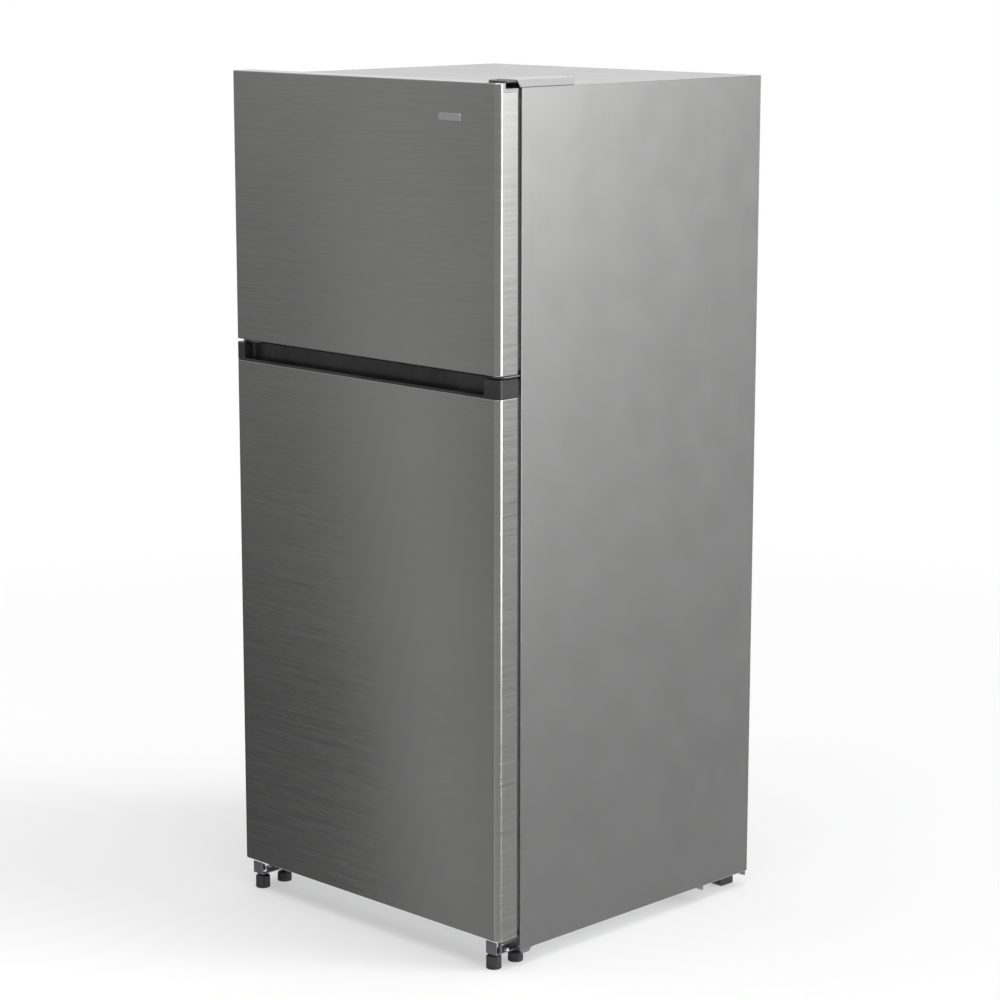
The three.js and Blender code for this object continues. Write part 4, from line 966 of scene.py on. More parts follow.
@dataclass
class HandleCap:
    """Glossy cap along the fridge door's top, with the finger scoop behind a low lip."""

    node: str = "handle_cap"
    body: str = "fridge_door"
    band: float = 0.0355
    plug_inset: float = 0.0013
    scoop_depth: float = 0.025
    left_block: float = 0.028
    right_block: float = 0.038
    lip_height: float = 0.004
    lip_width: float = 0.004
    dip: float = 0.010
    scoop_radius: float = 0.006
    back_inset: float = 0.0123
    back_depth: float = 0.0035
    pin_inset: float = 0.022
    pin_setback: float = 0.0275
    bush_radius: float = 0.0043
    bush_depth: float = 0.019
    edge: float = 0.0008

    def _scoop(self, span: Span, shoulder: float) -> Form:
        """The space that fingers reach into: an open mouth and a deeper trough behind the lip."""
        left, right = span.low.x + self.left_block, span.high.x - self.right_block
        front, top = span.low.y, span.high.z
        rear = front + self.scoop_depth
        mouth = Form.block("mouth", (left, front - self.scoop_depth, shoulder + self.lip_height),
                           (right, rear, top + self.band))
        mouth.round_edges(lambda a, b: upright(a, b) and a.y > rear - HAIR, self.scoop_radius, 5)
        floor = shoulder + self.lip_height - self.dip
        trough = Form.block("trough", (left, front + self.lip_width, floor), (right, rear, top))
        trough.round_edges(lambda a, b: upright(a, b) and a.y > rear - HAIR, self.scoop_radius, 5)
        trough.round_edges(lambda a, b: level_at(a, b, floor), self.lip_height, 5)
        return mouth.weld(trough)

    def build(self) -> None:
        """Makes the cap, with its plug inside the steel wrap and the hinge's bush."""
        span = Span.of(self.node)
        low, high, inset = span.low, span.high, self.plug_inset
        shoulder = high.z - self.band
        skin = DoorSkin(self.node, self.body)
        cap = door_prism(self.node + "_moulding", (low.x, low.y, shoulder), high,
                         skin.front_radius, skin.heel_radius)
        plug = door_prism("plug", (low.x + inset, low.y + inset, low.z),
                          (high.x - inset, high.y - inset, high.z - inset),
                          skin.front_radius - inset, skin.heel_radius - inset)
        back = Form.block("back", (low.x + self.back_inset, high.y - self.back_depth, low.z),
                          (high.x - self.back_inset, high.y, high.z))
        pin = (high.x - self.pin_inset, low.y + self.pin_setback)
        bush = Form.rod("bush", self.bush_radius, (*pin, high.z - self.bush_depth), (*pin, high.z + 0.01))
        cap.weld(plug, back).carve(self._scoop(span, shoulder), bush)
        cap.soften(self.edge, 3).dress(BLACK_PLASTIC, self.body, self.node)


@dataclass
class TracedPiece:
    """A piece whose CAD outline is right, given its moulded or folded edge radii."""

    node: str
    body: str
    finish: Finish
    edge: float = 0.0008
    segments: int = 2

    def build(self) -> None:
        """Copies the outline, rounds its edges and dresses it."""
        piece = Form.traced(self.node + "_formed", self.node)
        piece.soften(self.edge, self.segments).dress(self.finish, self.body, self.node)


@dataclass
class NamePlate:
    """Small blank plate near the freezer door's upper corner."""

    inset: float = 0.097
    drop: float = 0.0585
    width: float = 0.060
    height: float = 0.0135
    rise: float = 0.0009

    def build(self) -> None:
        """Makes the plate with round ends and a pillowed face."""
        door = Span.of("freezer_door_skin")
        left, top = door.high.x - self.inset - self.width, door.high.z - self.drop
        plate = Form.block("name_plate", (left, door.low.y - self.rise, top - self.height),
                           (left + self.width, door.low.y + HAIR, top))
        plate.round_edges(lengthwise, self.height * 0.42, 8)
        plate.soften(self.rise * 0.6, 3, angle=60).dress(BADGE_STEEL, "freezer_door")


@dataclass
class DoorGasket:
    """Magnetic seal: a soft frame with a hollow groove towards the cabinet.

    It stands out past the CAD solid by a flare, as the soft lip of a real seal does.
    """

    node: str
    body: str
    width: float = 0.016
    corner: float = 0.005
    lip: float = 0.0042
    groove: float = 0.0016
    flare: float = 0.007

    def build(self) -> None:
        """Cuts the frame from a block and sinks its groove."""
        span = Span.of(self.node)
        flare = Vector((self.flare, 0.0, self.flare * 0.3))
        low, high, width = span.low - flare, span.high + flare, self.width
        frame_block = Form.block(self.node + "_bellows", low, high)
        frame_block.round_edges(lengthwise, self.corner, 5)
        hole = Form.block("hole", (low.x + width, low.y - width, low.z + width),
                          (high.x - width, high.y + width, high.z - width))
        hole.round_edges(lengthwise, self.corner * 0.6, 4)
        frame_block.carve(hole)
        facing = self._towards_cabinet
        frame_block.inset(facing, self.lip, 0.0).inset(facing, self.groove / 2, -self.groove)
        frame_block.soften(0.0005, 2).dress(GASKET_RUBBER, self.body, self.node)

    @staticmethod
    def _towards_cabinet(centre: Vector, face: Vector) -> bool:
        """Whether a face looks at the cabinet."""
        return face.y > 0.99


# ---- Cabinet outside ------------------------------------------------------------------------
@dataclass
class CabinetShell:
    """The painted sides, the top and the galvanised back."""

    sheet: float = 0.001
    roll: float = 0.0016
    fold_room: float = 0.0013
    panel_margin: float = 0.062
    rib_gap: float = 0.07
    rib_rise: float = 0.0016
    rib_slope: float = 0.004
    screw_margin: float = 0.011
    screw_rows: int = 6

    def _side(self) -> None:
        """Both side panels, each one sheet folded round the front edge."""
        span = Span.of("side_panel_right")
        panel = Form.block("side_panel_right_sheet", span.low, span.high)
        panel.round_edges(lambda a, b: upright(a, b) and a.x > span.high.x - HAIR and a.y < span.low.y + HAIR,
                          self.roll, 5)
        panel.remove(lambda centre, face: face.x < -0.9 or face.y > 0.9 or abs(face.z) > 0.9)
        panel.shell(self.sheet)
        other = panel.mirrored("side_panel_left_sheet")
        panel.soften(0.0003, 1).dress(SIDE_STEEL, "cabinet", "side_panel_right")
        other.soften(0.0003, 1).dress(SIDE_STEEL, "cabinet", "side_panel_left")

    def _top(self) -> None:
        """The top sheet, folded down at the front between the folds of the side sheets."""
        span = Span.of("top_panel")
        panel = Form.block("top_panel_sheet", span.low, span.high)
        panel.round_edges(lambda a, b: level_at(a, b, span.high.z) and abs(a.y - span.low.y) < HAIR
                          and abs(b.y - span.low.y) < HAIR, self.roll, 5)
        panel.remove(lambda centre, face: face.z < -0.9 or face.y > 0.9 or abs(face.x) > 0.9)
        panel.shell(self.sheet)
        face_half = Span.of("front_rail").high.x
        for side in Side:
            edges = sorted((side.value * face_half, side.value * (span.high.x + self.sheet)))
            panel.carve(Form.block("corner", (edges[0], span.low.y - self.sheet, span.low.z - self.sheet),
                                   (edges[1], span.low.y + self.fold_room, span.high.z + self.sheet)))
        panel.soften(0.0003, 1).dress(TOP_STEEL, "cabinet", "top_panel")

    def _back(self) -> None:
        """The back sheet, stiffened by four raised fields."""
        span = Span.of("back_panel")
        low, high, margin, gap = span.low, span.high, self.panel_margin, self.rib_gap / 2
        sheet = Form.block("back_panel_sheet", low, high)
        sheet.slice(Axis.X, low.x + margin, -gap, gap, high.x - margin)
        middle = span.middle.z
        sheet.slice(Axis.Z, low.z + margin, middle - gap, middle + gap, high.z - margin)
        raised = (lambda centre, face: face.y > 0.99 and gap < abs(centre.x) < high.x - margin
                  and gap < abs(centre.z - middle) < high.z - margin - middle)
        sheet.inset(raised, self.rib_slope, self.rib_rise)
        sheet.soften(0.0006, 2, angle=15).dress(ZINC_STEEL, "cabinet", "back_panel")

    def _screws(self) -> None:
        """Screws down both sides and along the middle of the back, and round the lower cover."""
        back, cover = Span.of("back_panel"), Span.of("compressor_cover")
        y, margin = back.high.y, self.screw_margin
        places = []
        for row in range(self.screw_rows):
            height = back.low.z + margin + (back.size.z - 2 * margin) * row / (self.screw_rows - 1)
            places += [(side.value * (back.high.x - margin), y, height) for side in Side]
        places += [(0.0, y, back.high.z - margin)]
        places += [(x, y, cover.low.z + margin) for x in (cover.low.x + margin, 0.0, cover.high.x - margin)]
        places += [(x, y, cover.high.z - 2 * margin) for x in (-0.12, 0.23)]
        first = PanScrew().build("back_screws", places[0], Axis.Y)
        copies = [first.twin("screw", Vector(place) - Vector(places[0])) for place in places[1:]]
        first.gather(*copies).dress(BADGE_STEEL, "cabinet")

    def build(self) -> None:
        """Makes the shell."""
        self._side()
        self._top()
        self._back()
        self._screws()


@dataclass
class HingeCover:
    """Plastic cover over the top hinge, with a canopy over the arm and a near-black strip of painted shade at
    its foot.
    """

    node: str = "top_hinge_cover"
    wall: float = 0.0012
    canopy: float = 0.014
    brim: float = 0.0016
    lean: float = 0.004
    # lift of the cover off the top, which bares the painted-shade strip under it
    foot: float = 0.0008
    edge: float = 0.0024

    def build(self) -> None:
        """Makes the hollow cover, its fixing screw and the near-black strip at its foot, which is painted
        shade.
        """
        span = Span.of(self.node)
        low, high, wall = span.low, span.high, self.wall
        cover = Form.block(self.node + "_moulding", low + Vector((0, 0, self.foot)), high)
        brow = low.y + self.canopy
        under = Form.block("under", (low.x - wall, low.y - self.canopy, low.z - wall),
                           (high.x + wall, brow, high.z - self.brim))
        under.shift(lambda a, b: level_at(a, b, high.z - self.brim) and min(a.y, b.y) > brow - HAIR,
                    (0.0, self.lean - self.canopy, 0.0))
        cover.carve(under)
        cover.round_edges(lambda a, b: level_at(a, b, high.z), self.edge, 5)
        cover.round_edges(lambda a, b: upright(a, b) and a.y > high.y - HAIR, self.edge, 4)
        cover.carve(Form.block("inside", (low.x + wall, low.y - wall, low.z - wall),
                               (high.x - wall, high.y - wall, high.z - wall)))
        cover.soften(0.0003, 2).dress(GREY_PLASTIC, "cabinet", self.node)
        # near-black strip under the cover's raised edge: painted shade for the dark line at its foot
        shade_strip = Form.block("hinge_cover_seal", (low.x + wall, brow + wall, low.z - 0.0002),
                          (high.x - wall * 0.5, high.y - wall, low.z + self.foot * 1.5))
        shade_strip.soften(0.0002, 1).dress(PAINTED_SHADE_STRIP, "cabinet")
        screw = PanScrew(radius=0.0038, rise=0.0008).build(
            "hinge_cover_screw", (span.middle.x, high.y - 0.02, high.z), Axis.Z)
        screw.dress(BADGE_STEEL, "cabinet")


@dataclass
class HingeFixings:
    """Rivet head of the top pin, nuts and bolts of the lower brackets, washers between doors."""

    pin_inset: float = 0.022
    pin_setback: float = 0.0275
    head_radius: float = 0.0068
    head_rise: float = 0.0013
    nut_across: float = 0.016
    nut_height: float = 0.006
    washer_radius: float = 0.0085
    washer_height: float = 0.0014
    plate_half: float = 0.0018
    plate_top: float = 0.008
    bore_radius: float = 0.0052
    bolt_setback: float = 0.010

    def _pin(self) -> Vector:
        """The pin axis, at floor level."""
        door = Span.of("fridge_door_skin")
        return Vector((door.high.x - self.pin_inset, door.low.y + self.pin_setback, 0.0))

    def _rivet(self) -> None:
        """The riveted end of the top pin, on its arm."""
        pin, top = self._pin(), Span.of("top_hinge").high.z - HAIR
        base = Vector((pin.x, pin.y, top - 0.0008))
        head = Form.rod("top_pin_head", self.head_radius, base, base + Vector((0, 0, 0.0008)), sides=40)
        head.steps((0, 0, 1), (0.0008, self.head_rise * 0.6), (0.0018, self.head_rise * 0.4))
        head.dress(HINGE_STEEL, "cabinet")

    def _washers(self) -> None:
        """A washer over and under the middle hinge's plate."""
        pin = self._pin()
        middle = (Span.of("freezer_door_skin").low.z + Span.of("handle_cap").high.z) / 2
        pair = []
        for way in (-1, 1):
            start = Vector((pin.x, pin.y, middle + way * self.plate_half))
            washer = Form.rod("hinge_washers", self.washer_radius, start,
                              start + Vector((0, 0, way * self.washer_height)), sides=36)
            pair.append(washer.soften(0.0003, 2))
        pair[0].gather(pair[1]).dress(GREY_PLASTIC, "cabinet")

    def _nuts(self, side: Side) -> None:
        """Lock nut on the front foot's screw and a bolt through the bracket."""
        foot, bracket = Span.of("front_foot_" + side.word), Span.of("lower_bracket_" + side.word)
        door = Span.of("fridge_door_skin")
        plate_top = bracket.low.z + self.plate_top
        at = Vector((foot.middle.x, foot.middle.y, plate_top))
        nut = Form.rod("bracket_nuts_" + side.word, self.nut_across / math.sqrt(3), at,
                       at + Vector((0, 0, self.nut_height)), sides=6)
        nut.soften(0.0006, 2)
        bore = Form.rod("bore", self.bore_radius, at - Vector((0, 0, 0.01)), at + Vector((0, 0, 0.02)),
                        sides=24)
        nut.carve(bore)
        bolt_at = (bracket.middle.x, door.high.y - self.bolt_setback, plate_top)
        nut.gather(HexBolt(across=0.011, rise=0.0045).build("bolt", bolt_at, Axis.Z))
        nut.dress(BADGE_STEEL, "cabinet")

    def build(self) -> None:
        """Makes all the fixings."""
        self._rivet()
        self._washers()
        for side in Side:
            self._nuts(side)


@dataclass
class LevellingFoot:
    """Adjustable foot: a gripped pad on a threaded stem."""

    place: str
    height: float
    stem_radius: float
    pad_radius: float = 0.015
    flange: float = 0.0085
    grips: int = 30
    pitch: float = 0.0018

    def build(self, side: Side) -> None:
        """Makes one foot in place."""
        node = f"{self.place}_foot_{side.word}"
        span = Span.of(node)
        at = Vector((span.middle.x, span.middle.y, 0.0))
        up = Vector((0, 0, 1))
        body_radius = self.pad_radius * 0.965
        pad = Form.rod(node + "_pad", self.pad_radius, at, at + up * self.flange, sides=56)
        pad.soften(0.0013, 3)
        core = Form.rod("core", body_radius, at + up * 0.001, at + up * (self.height - 0.003), sides=56)
        core.steps(up, (0.0007, 0.0012), (0.0012, 0.0008), (0.002, 0.0006))
        pad.weld(core)
        pad.carve(Form.ring("groove", self.pad_radius, 0.0009, at + up * (self.flange + 0.0006)))
        grip_low, grip_high = at + up * (self.flange - 0.001), at + up * (self.height - 0.0035)
        for i in range(self.grips):
            angle = 2 * math.pi * i / self.grips
            out = Vector((math.cos(angle), math.sin(angle), 0)) * (body_radius - 0.0002)
            pad.gather(Form.rod("grip", 0.0006, grip_low + out, grip_high + out, sides=8))
        top = span.high.z
        core_radius = self.stem_radius * 0.9
        stem = Form.rod("stem", core_radius, at + up * (self.height - 0.004), at + up * top, sides=28)
        stem.steps(up, (0.0006, 0.0))
        turns = int((top - self.height) / self.pitch)
        for i in range(turns):
            level = at + up * (self.height + self.pitch * (i + 0.6))
            stem.gather(Form.ring("thread", core_radius, self.stem_radius * 0.09, level))
        pad.gather(stem)
        pad.dress(FOOT_PLASTIC, f"{self.place}_{side.word}_foot", node)


# ---- Compartments ---------------------------------------------------------------------------
@dataclass
class Compartment:
    """Moulded liner of one compartment: rounded corners, a front flange and shelf ribs."""

    node: str
    half: float
    floor: float
    ceiling: float
    shelves: tuple[str, ...]
    rib_end: float
    rear: float = 0.31675
    step_top: float = 0.0
    step_front: float = 0.0
    step_rear: float = 0.0
    guide_level: float = 0.0
    wall: float = 0.0015
    corner: float = 0.012
    rib_start: float = -0.19125
    rib_reach: float = 0.009
    rib_height: float = 0.006
    trim_drop: float = 0.0075
    guide_reach: float = 0.017
    guide_end: float = 0.11775

    def _hollow(self, name: str, front: float, growth: float) -> Form:
        """The compartment's space, grown by a distance, with its corners rounded."""
        half, foot = self.half + growth, (self.step_top or self.floor) - growth
        space = Form.block(name, (-half, front, foot), (half, self.rear + growth, self.ceiling + growth))
        if self.step_top:
            low, rear = self.floor - growth, self.step_rear + growth
            lower = Form.block("lower", (-half, front, low), (half, rear, self.step_top + self.wall * 20))
            lower.shift(lambda a, b: level_at(a, b, low) and min(a.y, b.y) > rear - HAIR,
                        (0.0, self.step_front - self.step_rear, 0.0))
            space.weld(lower).flatten()
        return space.round_edges(lambda a, b: max(a.y, b.y) > front + HAIR, self.corner + growth, 5)

    def _ribs(self) -> list[Form]:
        """Ribs that carry the shelves, and guides over the drawers."""
        runs = [(Span.of(shelf).low.z + self.trim_drop, self.rib_reach, self.rib_end)
                for shelf in self.shelves]
        if self.guide_level:
            runs.append((self.guide_level, self.guide_reach, self.guide_end))
        ribs = []
        for level, reach, end in runs:
            for side in Side:
                edges = sorted((side.value * (self.half - reach), side.value * (self.half + self.wall / 2)))
                rib = Form.block("rib", (edges[0], self.rib_start, level - self.rib_height - 0.0003),
                                 (edges[1], end, level - 0.0003))
                rib.round_edges(lambda a, b: upright(a, b) and abs(a.x) < self.half - HAIR, 0.004, 4)
                ribs.append(rib)
        return ribs

    def build(self) -> None:
        """Makes the liner."""
        span = Span.of(self.node)
        front = span.low.y
        liner = self._hollow(self.node + "_moulding", front, self.wall)
        flange = Form.block("flange", (span.low.x, front, span.low.z),
                            (span.high.x, front + self.wall, span.high.z))
        liner.weld(flange).carve(self._hollow("space", front - 0.03, 0.0)).weld(*self._ribs())
        liner.soften(0.0006, 2, angle=50).dress(WHITE_PLASTIC, "cabinet", self.node)


@dataclass
class DoorLining:
    """Moulded door lining: a flat sheet with a raised frame that enters the compartment."""

    node: str
    body: str
    half: float
    bottom: float
    top: float
    width: float = 0.026
    reach: float = 0.058
    setback: float = 0.31125
    sheet: float = 0.0015
    edge: float = 0.004

    def _ring(self, name: str, inset: float, front: float, rear: float, radius: float) -> Form:
        """A rectangular frame, with rounded corners and rounded towards the compartment."""
        inner = self.width - inset
        ring = Form.block(name, (-self.half + inset, front, self.bottom + inset),
                          (self.half - inset, rear, self.top - inset))
        hole = Form.block("hole", (-self.half + inner, front - 0.05, self.bottom + inner),
                          (self.half - inner, rear + 0.05, self.top - inner))
        for form in (ring, hole):
            form.round_edges(lengthwise, radius, 4)
        ring.carve(hole)
        return ring.round_edges(lambda a, b: min(a.y, b.y) > rear - HAIR, radius, 4)

    def build(self) -> None:
        """Makes the lining, hollow behind its raised frame."""
        span = Span.of(self.node)
        back = span.low.y + self.sheet
        lining = Form.block(self.node + "_moulding", span.low, (span.high.x, back, span.high.z))
        lining.weld(self._ring("frame", 0.0, back - self.sheet / 2, self.reach - self.setback, self.edge))
        lining.carve(self._ring("hollow", self.sheet, span.low.y - 0.001,
                                self.reach - self.setback - self.sheet, self.edge - self.sheet))
        lining.soften(0.0005, 2, angle=50).dress(WHITE_PLASTIC, self.body, self.node)


@dataclass
class GlassShelf:
    """Glass pane in a moulded frame with a rounded front trim."""

    node: str
    plate: float = 0.005
    drop: float = 0.0075
    nose: float = 0.003
    border: float = 0.016
    trim_inset: float = 0.009
    trim_depth: float = 0.008
    lap: float = 0.004
    slack: float = 0.0006

    def build(self) -> None:
        """Makes the pane and the frame."""
        span = Span.of(self.node)
        base, front, border = span.low.z + self.drop, span.low.y + self.nose, self.border
        left, right, rear = span.low.x, span.high.x, span.high.y
        rim = Form.block(self.node + "_frame", (left, front, base), (right, rear, base + self.plate))
        rim.round_edges(lambda a, b: upright(a, b) and a.y > rear - HAIR, 0.006, 4)
        hole = Form.block("hole", (left + border, front + border / 2, base - border),
                          (right - border, rear - border, base + border))
        hole.round_edges(upright, 0.005, 4)
        trim = Form.block("trim", (left + self.trim_inset, span.low.y, span.low.z),
                          (right - self.trim_inset, span.low.y + self.trim_depth, span.high.z))
        trim.shift(lambda a, b: level_at(a, b, span.low.z) and min(a.y, b.y) > span.low.y + HAIR,
                   (0.0, self.nose - self.trim_depth, 0.0))
        trim.round_edges(lambda a, b: crosswise(a, b) and max(a.y, b.y) < span.low.y + HAIR
                         or level_at(a, b, span.high.z) and abs(a.x - b.x) > HAIR, 0.0014, 3)
        rim.carve(hole).weld(trim).soften(0.0006, 2).dress(WHITE_PLASTIC, "cabinet")
        edge, slack = border - self.lap, self.slack
        pane = Form.block(self.node + "_pane", (left + edge, front + border / 2 - self.lap, base + slack),
                          (right - edge, rear - edge, base + self.plate - slack))
        pane.round_edges(upright, 0.006, 4).soften(0.0005, 2).dress(SHELF_GLASS, "cabinet", self.node)


@dataclass
class Tray:
    """Open moulded tray: a bin, a drawer or a pan, with rounded corners."""

    node: str
    body: str
    finish: Finish
    wall: float = 0.0025
    corner: float = 0.014
    foot: float = 0.007
    rim: float = 0.0018
    rim_height: float = 0.006
    dip_length: float = 0.0
    dip_depth: float = 0.0
    grip_height: float = 0.0

    def _dip(self, tray: Form, low: Vector, high: Vector) -> None:
        """Lowers the end towards the compartment, with a soft shoulder on each side."""
        brink, level = high.y - self.dip_length, high.z - self.dip_depth
        past = Vector((0.05, 0.05, 0.05))
        tray.carve(Form.block("dip", (low.x - past.x, brink, level), high + past))
        tray.flatten()
        for height in (high.z, level):
            tray.round_edges(lambda a, b: level_at(a, b, height) and abs(a.y - brink) < HAIR
                             and abs(b.y - brink) < HAIR, self.dip_depth * 0.42, 6)

    def _grip(self, tray: Form, low: Vector, high: Vector) -> None:
        """Cuts a hand recess into the front wall and puts a lip behind it."""
        quarter, foot = (high.x - low.x) / 4, high.z - self.grip_height
        left, right = low.x + quarter, high.x - quarter
        recess = Form.block("recess", (left, low.y - 0.05, foot), (right, low.y + 0.008, high.z + 0.05))
        recess.round_edges(lambda a, b: lengthwise(a, b) and level_at(a, b, foot), 0.009, 5)
        lip = Form.block("lip", (left, low.y + self.rim, foot - 0.005), (right, low.y + 0.013, foot))
        lip.round_edges(lambda a, b: upright(a, b) and a.y > low.y + 0.005, 0.006, 4)
        tray.carve(recess).weld(lip)

    def build(self) -> None:
        """Makes the tray."""
        span = Span.of(self.node)
        inset = 0.0 if self.dip_length else self.rim
        low = span.low + Vector((inset, inset, 0.0))
        high = span.high - Vector((inset, inset, 0.0))
        tray = Form.block(self.node + "_moulding", low, high)
        if self.dip_length:
            self._dip(tray, low, high)
        tray.round_edges(lambda a, b: upright(a, b) and not low.y + HAIR < a.y < high.y - HAIR,
                         self.corner, 6)
        tray.round_edges(lambda a, b: level_at(a, b, low.z), self.foot, 4)
        level = high.z - self.dip_depth
        tray.remove(lambda centre, face: face.z > 0.05 or self.dip_length > 0 and face.y > 0.99
                    and centre.z > level + HAIR)
        tray.shell(self.wall)
        if not self.dip_length:
            band = Form.block("band", (span.low.x, span.low.y, high.z - self.rim_height), span.high)
            band.round_edges(upright, self.corner + self.rim, 6)
            gap = inset + self.wall * 0.5
            room = Form.block("room", (span.low.x + gap, span.low.y + gap, high.z - 0.05),
                              (span.high.x - gap, span.high.y - gap, high.z + 0.05))
            room.round_edges(upright, self.corner, 6)
            tray.weld(band.carve(room))
        if self.grip_height:
            self._grip(tray, span.low, span.high)
        tray.soften(self.wall * 0.25, 2).dress(self.finish, self.body, self.node)


@dataclass
class TemperatureControl:
    """Control housing under the ceiling, with its knob, a marked collar and the lamp's ribbed lens."""

    knob_radius: float = 0.019
    collar: float = 0.0012
    flutes: int = 24
    ribs: int = 15

    def _knob(self) -> None:
        """Fluted knob with a grip bar and a pointer."""
        span = Span.of("temperature_knob")
        hub, back = span.middle, span.high.y
        skirt = back - span.size.y * 0.6
        knob = Form.rod("temperature_knob_moulding", self.knob_radius * 0.97, (hub.x, back, hub.z),
                        (hub.x, skirt, hub.z), sides=64)
        knob.steps((0, -1, 0), (0.0012, 0.0), (0.0004, 0.0008))
        grip = Form.block("grip", (hub.x - 0.003, span.low.y, hub.z - self.knob_radius + 0.003),
                          (hub.x + 0.003, skirt + 0.002, hub.z + self.knob_radius - 0.003))
        grip.round_edges(lambda a, b: crosswise(a, b) and max(a.y, b.y) < span.low.y + HAIR, 0.004, 5)
        knob.weld(grip.soften(0.0009, 3))
        reach = self.knob_radius * 0.965
        for i in range(self.flutes):
            angle = 2 * math.pi * i / self.flutes
            x, z = hub.x + math.cos(angle) * reach, hub.z + math.sin(angle) * reach
            knob.gather(Form.rod("flute", 0.0007, (x, back - 0.001, z), (x, skirt + 0.001, z), sides=8))
        knob.dress(GREY_PLASTIC, "knob", "temperature_knob")
        mark = Form.block("knob_pointer", (hub.x - 0.0007, span.low.y - 0.0003, hub.z + 0.004),
                          (hub.x + 0.0007, span.low.y + 0.001, hub.z + self.knob_radius - 0.005))
        mark.soften(0.0003, 2).dress(WHITE_PLASTIC, "knob")

    def _collar(self) -> None:
        """Raised ring round the knob, with growing marks on each side."""
        span = Span.of("temperature_knob")
        hub, wall = span.middle, Span.of("control_box").low.y
        ring = Form.rod("knob_collar", self.knob_radius + 0.0012, (hub.x, wall + 0.001, hub.z),
                        (hub.x, wall - self.collar * 0.2, hub.z), sides=64)
        for side in Side:
            for i in range(-2, 3):
                angle = math.radians(17) * i
                reach = self.knob_radius + 0.005 + (0.0005 * i if side is Side.RIGHT else 0)
                x, z = hub.x + side.value * reach * math.cos(angle), hub.z + reach * math.sin(angle)
                if z < hub.z - 0.012:
                    continue
                ring.gather(Form.rod("mark", 0.0009 + 0.0002 * i, (x, wall + 0.001, z),
                                     (x, wall - 0.0004, z), sides=16))
        ring.dress(GREY_PLASTIC, "cabinet")

    def _lens(self) -> None:
        """Lens with prisms along it."""
        span = Span.of("lamp_lens")
        lens = Form.traced("lamp_lens_moulding", "lamp_lens").soften(0.0008, 2)
        for i in range(self.ribs):
            x = span.low.x + span.size.x * (i + 0.5) / self.ribs
            rib = Form.rod("prism", 0.002, (x, span.low.y + 0.008, span.low.z + 0.0012),
                           (x, span.high.y - 0.008, span.low.z + 0.0012), sides=16)
            lens.gather(rib)
        lens.dress(LAMP_PLASTIC, "cabinet", "lamp_lens")

    def build(self) -> None:
        """Makes the housing and what it carries."""
        TracedPiece("control_box", "cabinet", WHITE_PLASTIC, 0.0022, 4).build()
        self._knob()
        self._collar()
        self._lens()


# ---- Cooling --------------------------------------------------------------------------------
@dataclass
class BladedFan:
    """Fan with a domed hub and twisted blades, turning about one axis."""

    node: str
    body: str
    radius: float
    depth: float
    axis: Axis
    blades: int
    pitch: float = 28.0
    twist: float = -14.0
    sheet: float = 0.0009

    def build(self) -> None:
        """Makes one blade and copies it round the hub."""
        hub = self.radius * 0.32
        chord = self.radius * 0.27
        half = self.depth / 2
        fan = Form.rod(self.node + "_moulding", hub, (0, half, 0), (0, 0.003 - half, 0), sides=40)
        fan.steps((0, -1, 0), (hub * 0.12, 0.0012), (hub * 0.3, 0.001), (hub * 0.3, 0.0004))
        blade = Form.block("blade", (hub * 0.7, -self.sheet, -chord), (self.radius, self.sheet, chord))
        blade.round_edges(lambda a, b: lengthwise(a, b) and min(a.x, b.x) > self.radius - HAIR,
                          chord * 0.6, 6)
        blade.slice(Axis.X, *[self.radius * share for share in (0.35, 0.45, 0.55, 0.65, 0.75)])
        blade.soften(self.sheet * 0.6, 2, angle=50)
        blade.modify("SIMPLE_DEFORM", deform_method="TWIST", deform_axis="X", angle=math.radians(self.twist))
        blade.turn(math.radians(self.pitch), Axis.X)
        for i in range(1, self.blades):
            fan.gather(blade.twin("copy").turn(2 * math.pi * i / self.blades, Axis.Y))
        fan.gather(blade)
        if self.axis is Axis.X:
            fan.turn(math.pi / 2, Axis.Z)
        fan.move(Span.of(self.node).middle).dress(BLACK_PLASTIC, self.body, self.node)


@dataclass
class FinnedCoil:
    """Bent tube through a pack of thin fins."""

    node: str
    fins: int
    passes: int
    columns: int
    tube: float = 0.004
    sheet: float = 0.0003
    overhang: float = 0.016

    def build(self) -> None:
        """Copies one fin along the pack and threads the tube through."""
        span = Span.of(self.node)
        low, high, over = span.low, span.high, self.overhang
        first = Form.block(self.node + "_fins", (low.x + over, low.y, low.z),
                           (low.x + over + self.sheet, high.y, high.z))
        first.round_edges(crosswise, 0.004, 3)
        pitch = (span.size.x - 2 * over - self.sheet) / (self.fins - 1)
        coil = first.gather(*[first.twin("fin", (pitch * i, 0, 0)) for i in range(1, self.fins)])
        coil.dress(FIN_ALUMINIUM, "cabinet", self.node)
        rise = span.size.z / self.passes
        pipes = []
        for column in range(self.columns):
            y = low.y + span.size.y * (column + 0.5) / self.columns
            points = []
            for i in range(self.passes):
                ends = [(low.x + self.tube + 0.001, y, low.z + rise * (i + 0.5)),
                        (high.x - self.tube - 0.001, y, low.z + rise * (i + 0.5))]
                points += ends if i % 2 == 0 else ends[::-1]
            pipes.append(Form.tube(self.node + "_tube", points, self.tube, min(rise / 2 - 0.0005, over)))
        pipes[0].gather(*pipes[1:]).dress(FIN_ALUMINIUM, "cabinet")


